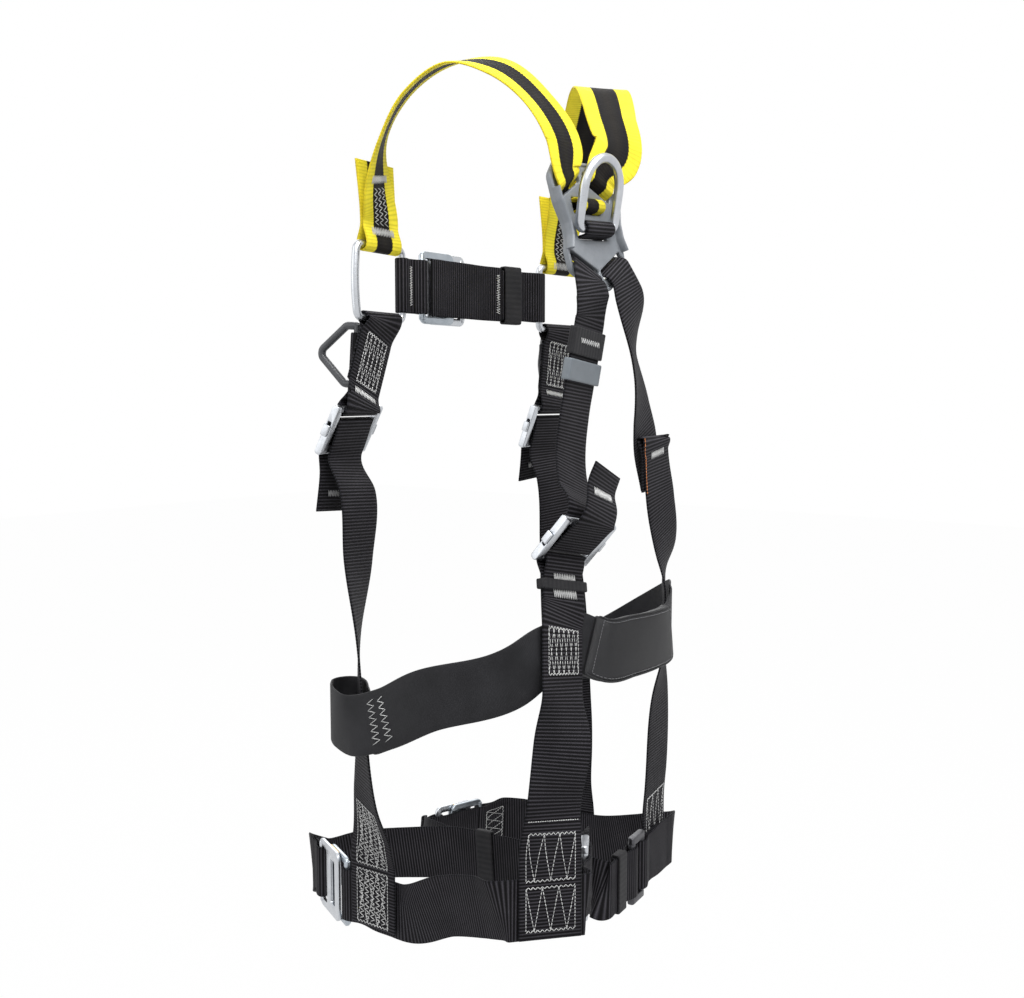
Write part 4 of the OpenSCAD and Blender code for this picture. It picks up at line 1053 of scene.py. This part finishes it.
cuts = [slantedSlot(sx, sz) for sx in (-1, 1) for sz in (-1, 1)]
for z, half, high in ((deeZ, rollWide / 2 + 1, wrapR(metal["deeWire"]) + web["thick"] / 2 + 1),
                      (deeZ + rollUp, rollWide / 2, rollR + web["thick"] / 2 + 0.5)):
    cuts.append(rectLoop(-half, half, z - high, z + high, plateLook["cutCorner"]))
bits = [stamped([plateOutline] + cuts, plateThick, plateLook["edge"], planeXz)]
rim = np.array(plateOutline) * np.array(((w - plateLook["inset"]) / w, (h - plateLook["inset"]) / h))
bits.append(bentBar([(x, plateThick / 2 - 0.3, z) for x, z in rim], plateLook["rim"], flat=0.8, sides=12))
for s in (-1, 1):
    edge = roundedLoop([(s * x, z) for x, z in ((w - 1.6, 30), (w - 2.4, 20), (v - 1, 5), (v - 1, -5), (w - 3.5, -14))],
                       [0, 10, 12, 10, 0], 8)
    bits.append(bentBar([(x, plateThick / 2 + 1.6, z) for x, z in edge], plateLook["flange"], False,
                        plateLook["flangeHigh"], sides=16))
finishPiece(joined("dorsal_plate_moulding", bits, plateAt), platePlastic, ["dorsal_plate"])

# keepers: short sleeves of elastic, and one moulded slide
keeperLook = {"gap": 0.6, "wall": 1.3, "slideWall": 1.8, "step": 0.4}
keepRun, legRun = (backLeft[7], backLeft[10]), (legStraight[0], legStraight[3])
sleeves = {  # both ends and the layers of webbing inside
    "back_keeper": (toward(*keepRun, 0.06), toward(*keepRun, 0.35), 1),
    "back_slide_plate": (toward(*keepRun, 0.4), toward(*keepRun, 0.63), 1),
    "leg_keeper_left": (toward(*legRun, 0.24), toward(*legRun, 0.44), 1),
    "leg_keeper_right": (*[on(legBackRight, 0, -backRingZ - z) for z in (18, 32)], 2),
    "hip_keeper": (*[on(hipBar, 0, z) for z in (16, 23)], 2),
    "chest_keeper": (toward(*chestMid, 0.54), toward(*chestMid, 0.93), 2),
}
for node, (a, b, layers) in sleeves.items():
    runs[node] = runAlong([a, b], keeperLook["step"])
    slide = node == "back_slide_plate"
    inThick = layers * web["thick"] + (layers - 1) * web["seam"] + 2 * keeperLook["gap"]
    piece = sleeveMesh(node + "_sleeve", runs[node], web["wide"] + 2 * keeperLook["gap"], inThick,
                       keeperLook["slideWall" if slide else "wall"])
    finishPiece(piece, slidePlastic if slide else keeperElastic, [node],
                "webbing" if node == "hip_keeper" else node)
print("keepers made:", len(sleeves))

# padded sleeve on the seat band
padLook = {"wide": 48, "thick": 9.4, "voxel": 1.2, "pressure": 3.0, "cap": 0.7, "fill": 0.45, "squareWide": 0.16,
           "squareThick": 0.42, "steps": 20, "left": 46, "right": -62, "behind": 84, "rows": 40, "sides": 36,
           "edgeIn": 1.2, "endLen": 3.0, "piping": 0.8, "pipeIn": 1.6, "pipeDrop": 0.9, "pipeCorner": 3,
           "pipeStep": 2.5}
band = runs["seat_band"]
bandX, bandY = band["p"][:, 0], band["p"][:, 1]
inside = (bandY > padLook["behind"]) & (bandX < padLook["left"]) & (bandX > padLook["right"])
padRun = {key: value[inside] for key, value in band.items()}
padRun["s"] = padRun["s"] - padRun["s"][0]
padEnd = padRun["s"][-1]
runs["label_sleeve"] = padRun


def padShape():
    n, m = padLook["rows"], padLook["sides"]
    a = np.arange(m) * 2 * math.pi / m
    x = np.sign(np.cos(a)) * np.abs(np.cos(a)) ** padLook["squareWide"] * (padLook["wide"] / 2 - padLook["edgeIn"])
    y = np.sign(np.sin(a)) * np.abs(np.sin(a)) ** padLook["squareThick"]
    verts = []
    for s in np.linspace(0, padEnd, n):
        end = min(1, (0.5 + min(s, padEnd - s)) / padLook["endLen"])
        fat = padLook["thick"] / 2 * (0.7 + 0.24 * math.sqrt(end))
        p, side, up = runPoint(padRun, s)
        verts.append(p + side * x[:, None] + up * (y * fat)[:, None])
    piece = meshPiece("label_sleeve_pad", np.concatenate(verts) * mm, gridFaces(n, m) + capFaces(n, m))
    evenNormals(piece.data)
    return piece


def places(piece):
    flat = np.empty(len(piece.data.vertices) * 3)
    piece.data.vertices.foreach_get("co", flat)
    return flat


def puffed(piece, look):  # filled by the cloth simulation, each point held to a short way
    remesh = piece.modifiers.new("even", "REMESH")
    remesh.mode = "VOXEL"
    remesh.voxel_size = look["voxel"] * mm
    plainMesh(piece)
    start = places(piece)
    cloth = piece.modifiers.new("fill", "CLOTH")
    cloth.settings.use_pressure = True
    cloth.settings.uniform_pressure_force = look["pressure"]
    cloth.settings.effector_weights.gravity = 0
    cloth.point_cache.frame_start, cloth.point_cache.frame_end = 1, look["steps"]
    for number in range(1, look["steps"] + 1):
        scene.frame_set(number)
    plainMesh(piece)
    scene.frame_set(1)
    shift = (places(piece) - start).reshape(-1, 3)
    size = np.linalg.norm(shift, axis=1)[:, None]
    shift *= np.minimum(1, look["cap"] * mm / np.maximum(size, 1e-9))
    piece.data.vertices.foreach_set("co", start + shift.ravel())
    piece.data.update()
    return float(size.max() / mm)


padPiece = padShape()
print("pad filled, largest free motion in mm:", round(puffed(padPiece, padLook), 2))
smooth = padPiece.modifiers.new("soft", "SUBSURF")
smooth.levels = smooth.render_levels = 1
plainMesh(padPiece)
smoothFaces(padPiece.data)
finishPiece(padPiece, padCloth, ["label_sleeve"])

# bound edge round the sleeve's outer face
half, lift = padLook["wide"] / 2 - padLook["pipeIn"], padLook["thick"] / 2 - padLook["pipeDrop"]
pipeLoop = rectLoop(padLook["piping"], padEnd - padLook["piping"], -half, half, padLook["pipeCorner"])
path = []
for s, across in evenLoop(pipeLoop, padLook["pipeStep"]):
    p, side, up = runPoint(padRun, s)
    path.append(p + side * across + up * lift)
binding = bentBar(path, padLook["piping"], sides=10, plane=padRun["up"][len(padRun["up"]) // 2])
finishPiece(joined("label_sleeve_binding", [binding]), padCloth, [])


# rows of thread: every edge of a guide mesh becomes one plump stitch
def stitchTree():
    tree, sockets, enter = newTree("threadRows", [
        ("Thread radius", "NodeSocketFloat", 0.32 * mm), ("Pull", "NodeSocketFloat", 0.54),
        ("Seed", "NodeSocketInt", 7), ("Thread", "NodeSocketMaterial", None)])
    ends = addNode(tree, "GeometryNodeInputMeshEdgeVertices").outputs
    span = addNode(tree, "ShaderNodeVectorMath", {0: ends["Position 2"], 1: ends["Position 1"]}, operation="SUBTRACT")
    keep = addNode(tree, "GeometryNodeCaptureAttribute", {"Geometry": enter["Geometry"]}, domain="EDGE")
    keep.capture_items.new("VECTOR", "span")
    tree.links.new(span.outputs[0], keep.inputs["span"])
    points = addNode(tree, "GeometryNodeMeshToPoints", {"Mesh": keep.outputs["Geometry"]}, mode="EDGES")
    length = addNode(tree, "ShaderNodeVectorMath", {0: keep.outputs["span"]}, operation="LENGTH").outputs["Value"]
    turn = addNode(tree, "FunctionNodeAlignRotationToVector", {"Vector": keep.outputs["span"]}, axis="Z")
    vary = addNode(tree, "FunctionNodeRandomValue", {"Seed": enter["Seed"], 2: 0.85, 3: 1.12}, data_type="FLOAT")
    thick = mathNode(tree, "MULTIPLY", vary.outputs[1], enter["Thread radius"])
    half = mathNode(tree, "MULTIPLY", length, enter["Pull"])
    size = addNode(tree, "ShaderNodeCombineXYZ", {0: thick, 1: thick, 2: half})
    loop = addNode(tree, "GeometryNodeMeshUVSphere", {"Segments": 6, "Rings": 4, "Radius": 1.0})
    sewn = addNode(tree, "GeometryNodeInstanceOnPoints", {
        "Points": points.outputs[0], "Instance": loop.outputs[0], "Rotation": turn.outputs[0],
        "Scale": size.outputs[0]})
    endTree(tree, sewn.outputs[0], enter["Thread"])
    return tree, sockets


threadRows = stitchTree()

# width and half thickness of sewn pieces that aren't plain webbing
sewnSizes = {"seat_band": (bandSize["wide"], 0.9), "back_keeper": (48.8, 2.95),
             "label_sleeve": (padLook["wide"], padLook["thick"] / 2 + 0.1)}
seamLook = {"lift": 0.3, "span": 44, "gap": 0.18, "tack": 1.0, "boxEnd": 1.6, "boxSwing": 0.9, "boxSide": 2.6,
            "boxCross": 3.0, "dense": 2.1, "denseSwing": 0.8}


def onStrap(name, s, across, face):  # a point of a seam, from -1 to 1 across
    p, side, up = runPoint(runs[name], s)
    wide, thick = sewnSizes.get(name, (straps.get(name, {}).get("wide", web["wide"]), weaveLook["base"] / 2))
    half = (wide - np.interp(s, runs[name]["s"], runs[name]["tuck"])) / 2
    return p + side * half * across + up * (thick + seamLook["lift"]) * face


def splitRow(a, b, pitch):  # one straight seam as separate stitches
    a, b = np.array(a, float), np.array(b, float)
    gap = seamLook["gap"] / 2
    n = max(1, round(float(np.linalg.norm((b - a) * np.array((1, seamLook["span"] / 2)))) / pitch))
    return [(a + (b - a) * (k + gap) / n, a + (b - a) * (k + 1 - gap) / n) for k in range(n)]


def zigzag(points):
    return list(zip(points[:-1], points[1:]))


def barTack(s0, s1, wide, pitch=seamLook["tack"]):
    n = round(wide * seamLook["span"] / pitch)
    return zigzag([(s0 if k % 2 else s1, wide * (2 * k / n - 1)) for k in range(n + 1)])


def sewnBox(s0, s1, wide, peaks, double=True):
    rows = []
    swing = seamLook["boxSwing"]
    for s in (s0, s1):
        rows += barTack(s + swing, s - swing, wide, seamLook["boxEnd"])
    for a in (-wide, wide):
        rows += splitRow((s0, a), (s1, a), seamLook["boxSide"])
    for flip in (0, 1) if double else (0,):
        stops = [((s0, s1)[(k + flip) % 2], wide * (2 * k / peaks - 1)) for k in range(peaks + 1)]
        for a, b in zip(stops[:-1], stops[1:]):
            rows += splitRow(a, b, seamLook["boxCross"])
    return rows


def denseRows(s0, s1, wide, count):  # close zigzag seams along the strap
    rows = []
    n = round((s1 - s0) / seamLook["dense"])
    swing = wide / count * seamLook["denseSwing"]
    for c in range(count):
        a = wide * (2 * (c + 0.5) / count - 1)
        rows += zigzag([(s0 + (s1 - s0) * k / n, a + (swing if k % 2 else -swing)) for k in range(n + 1)])
    return rows


def sewn(name, seams, thread, body="webbing", radius=0.32, slotName="black_webbing"):
    verts, edges = [], []
    for strapName, face, rows in seams:
        for a, b in rows:
            edges.append((len(verts), len(verts) + 1))
            verts += [onStrap(strapName, *a, face), onStrap(strapName, *b, face)]
    mesh = bpy.data.meshes.new(name)
    mesh.from_pydata((np.array(verts) * mm).tolist(), edges, [])
    piece = linked(name, mesh)
    shapedBy(piece, *threadRows, {"Thread": thread, "Thread radius": radius * mm})
    smoothFaces(piece.data)
    finishPiece(piece, thread, [], body)
    print("sewn:", name, len(edges), "stitches")


def seamsOn(name, face, *groups):
    return [(name, face, rows) for rows in groups]


end = {name: run["s"][-1] for name, run in runs.items()}
frontSeams = (
    seamsOn("shoulder_strap_left", -1, barTack(269, 275, 0.62), denseRows(278, 306, 0.4, 3), barTack(308, 315, 0.62))
    + seamsOn("shoulder_strap_right", -1, barTack(288, 294, 0.62), denseRows(296, 336, 0.4, 3), barTack(338, 344, 0.62))
    + seamsOn("shoulder_strap_left", 1, denseRows(352, 392, 0.4, 3))
    + seamsOn("shoulder_strap_right", 1, denseRows(372, 412, 0.4, 3))
    + seamsOn("chest_flap", -1, barTack(end["chest_flap"] - 6, end["chest_flap"] - 2, 0.72))
    + seamsOn("chest_strap_left", 1, barTack(2, 6, 0.72)))
for name in ("front_upper_strap_left", "front_upper_strap_right"):
    frontSeams += seamsOn(name, 1, sewnBox(71, 109, 0.66, 5), barTack(61, 66, 0.66), sewnBox(3, 24, 0.72, 4),
                          sewnBox(end[name] - 24, end[name] - 3, 0.72, 4))
for name in ("front_lower_strap_left", "front_lower_strap_right"):
    for face in (-1, 1):
        frontSeams += seamsOn(name, face, barTack(11, 16, 0.5))
sewn("front_seams", frontSeams, paleThread)

last = end["back_strap_left"]
backSeams = (
    seamsOn("back_strap_left", 1, barTack(last - 22, last - 16, 0.62))
    + seamsOn("hip_strap_right", 1, barTack(54, 60, 0.5))
    + seamsOn("hip_strap_left", 1, barTack(56, 63, 0.56), barTack(67, 74, 0.56), sewnBox(96, 127, 0.74, 6))
    + seamsOn("hip_strap_right", 1, sewnBox(188, 222, 0.74, 6))
    + seamsOn("seat_band", 1, barTack(181, 188, 0.72, 2.4), barTack(192, 199, 0.72, 2.4))
    + seamsOn("hip_strap_left", 1, splitRow((228, -0.9), (228, 0.9), 1.8)))
sewn("back_seams", backSeams, paleThread)
sewn("keeper_seam", seamsOn("back_keeper", 1, barTack(7, 11, 0.6, 1.4)), paleThread, "back_keeper", slotName="elastic")
padFrame = {"in": 6, "across": 0.84, "pitch": 2.2}
s0, s1, a = padFrame["in"], padEnd - padFrame["in"], padFrame["across"]
padSeams = seamsOn("label_sleeve", 1, *[splitRow(p, q, padFrame["pitch"]) for p, q in (
    ((s0, a), (s1, a)), ((s0, -a), (s1, -a)), ((s0, -a), (s0, a)), ((s1, -a), (s1, a)))])
sewn("pad_seams", padSeams, greyThread, radius=0.28, slotName="pad_fabric")
sewn("edge_seam", seamsOn("hip_strap_right", 1, splitRow((44, 0.97), (86, 0.97), 2.4)), orangeThread)

last, foot = end["hip_strap_right"], end["front_lower_strap_right"]
legSeams = (
    seamsOn("hip_strap_left", 1, sewnBox(237, 270, 0.78, 6, False), sewnBox(275, 306, 0.78, 6, False))
    + seamsOn("hip_strap_right", 1, sewnBox(last - 72, last - 38, 0.78, 6, False),
              sewnBox(last - 34, last - 4, 0.78, 6, False))
    + seamsOn("front_lower_strap_left", -1, sewnBox(377, 429, 0.7, 3), denseRows(379, 427, 0.62, 5),
              sewnBox(434, 476, 0.7, 3), denseRows(436, 474, 0.62, 5))
    + seamsOn("front_lower_strap_right", -1, sewnBox(foot - 42, foot - 4, 0.75, 4)))
for name, stop in (("inner_left", 20), ("inner_right", 18), ("outer_left", 28), ("outer_right", 28)):
    legSeams += seamsOn("leg_strap_" + name, 1, sewnBox(3, stop, 0.7, 4))
sewn("leg_seams", legSeams, paleThread)

# plain pale floor, white surroundings and soft lamps
stageLook = {"floorDrop": 0.40, "floorSize": 14, "floorGlow": 0.985, "surround": 0.34,
             "lamps": [("key", (1.4, 1.5, 1.8), 30, 1.4), ("fill", (1.5, -1.0, 0.7), 8, 1.6),
                       ("front", (-1.6, -1.6, 1.3), 20, 1.6), ("top", (0.1, 0.5, 1.1), 16, 1.0)]}


def backgroundRay(tree):
    path = addNode(tree, "ShaderNodeLightPath")
    seen = mathNode(tree, "MAXIMUM", path.outputs["Is Camera Ray"], path.outputs["Is Glossy Ray"])
    return mathNode(tree, "MAXIMUM", seen, path.outputs["Is Transmission Ray"])


def clearTree(owner):
    owner.use_nodes = True
    owner.node_tree.nodes.clear()
    return owner.node_tree


scene.world = bpy.data.worlds.new("studio")
tree = clearTree(scene.world)
white = addNode(tree, "ShaderNodeBackground", {"Color": (1, 1, 1, 1), "Strength": 1.0})
soft = addNode(tree, "ShaderNodeBackground", {"Color": (0.96, 0.98, 1, 1), "Strength": stageLook["surround"]})
both = addNode(tree, "ShaderNodeMixShader", {0: backgroundRay(tree), 1: soft.outputs[0], 2: white.outputs[0]})
addNode(tree, "ShaderNodeOutputWorld", {0: both.outputs[0]})

half = stageLook["floorSize"] / 2
floorZ = cadBox[0][2] - stageLook["floorDrop"]
floor = meshPiece("paleFloor", np.array([(-half, -half, floorZ), (half, -half, floorZ), (half, half, floorZ),
                                         (-half, half, floorZ)]), [[0, 1, 2, 3]])
floorPaint = bpy.data.materials.new("paleFloorPaint")
tree = clearTree(floorPaint)
paint = addNode(tree, "ShaderNodeBsdfDiffuse", {"Color": (0.9, 0.9, 0.9, 1)})
glow = addNode(tree, "ShaderNodeEmission", {"Color": (1, 1, 1, 1), "Strength": 1.0})
fac = mathNode(tree, "MULTIPLY", backgroundRay(tree), stageLook["floorGlow"])
both = addNode(tree, "ShaderNodeMixShader", {0: fac, 1: paint.outputs[0], 2: glow.outputs[0]})
addNode(tree, "ShaderNodeOutputMaterial", {0: both.outputs[0]})
floor.data.materials.append(floorPaint)
for name, spot, power, size in stageLook["lamps"]:
    lamp = bpy.data.lights.new(name, "AREA")
    lamp.energy, lamp.size = power, size
    holder = linked(name, lamp)
    holder.location = spot
    holder.rotation_euler = (-Vector(spot)).to_track_quat("-Z", "Y").to_euler()
scene.view_settings.view_transform = "Standard"

print("scene ready")
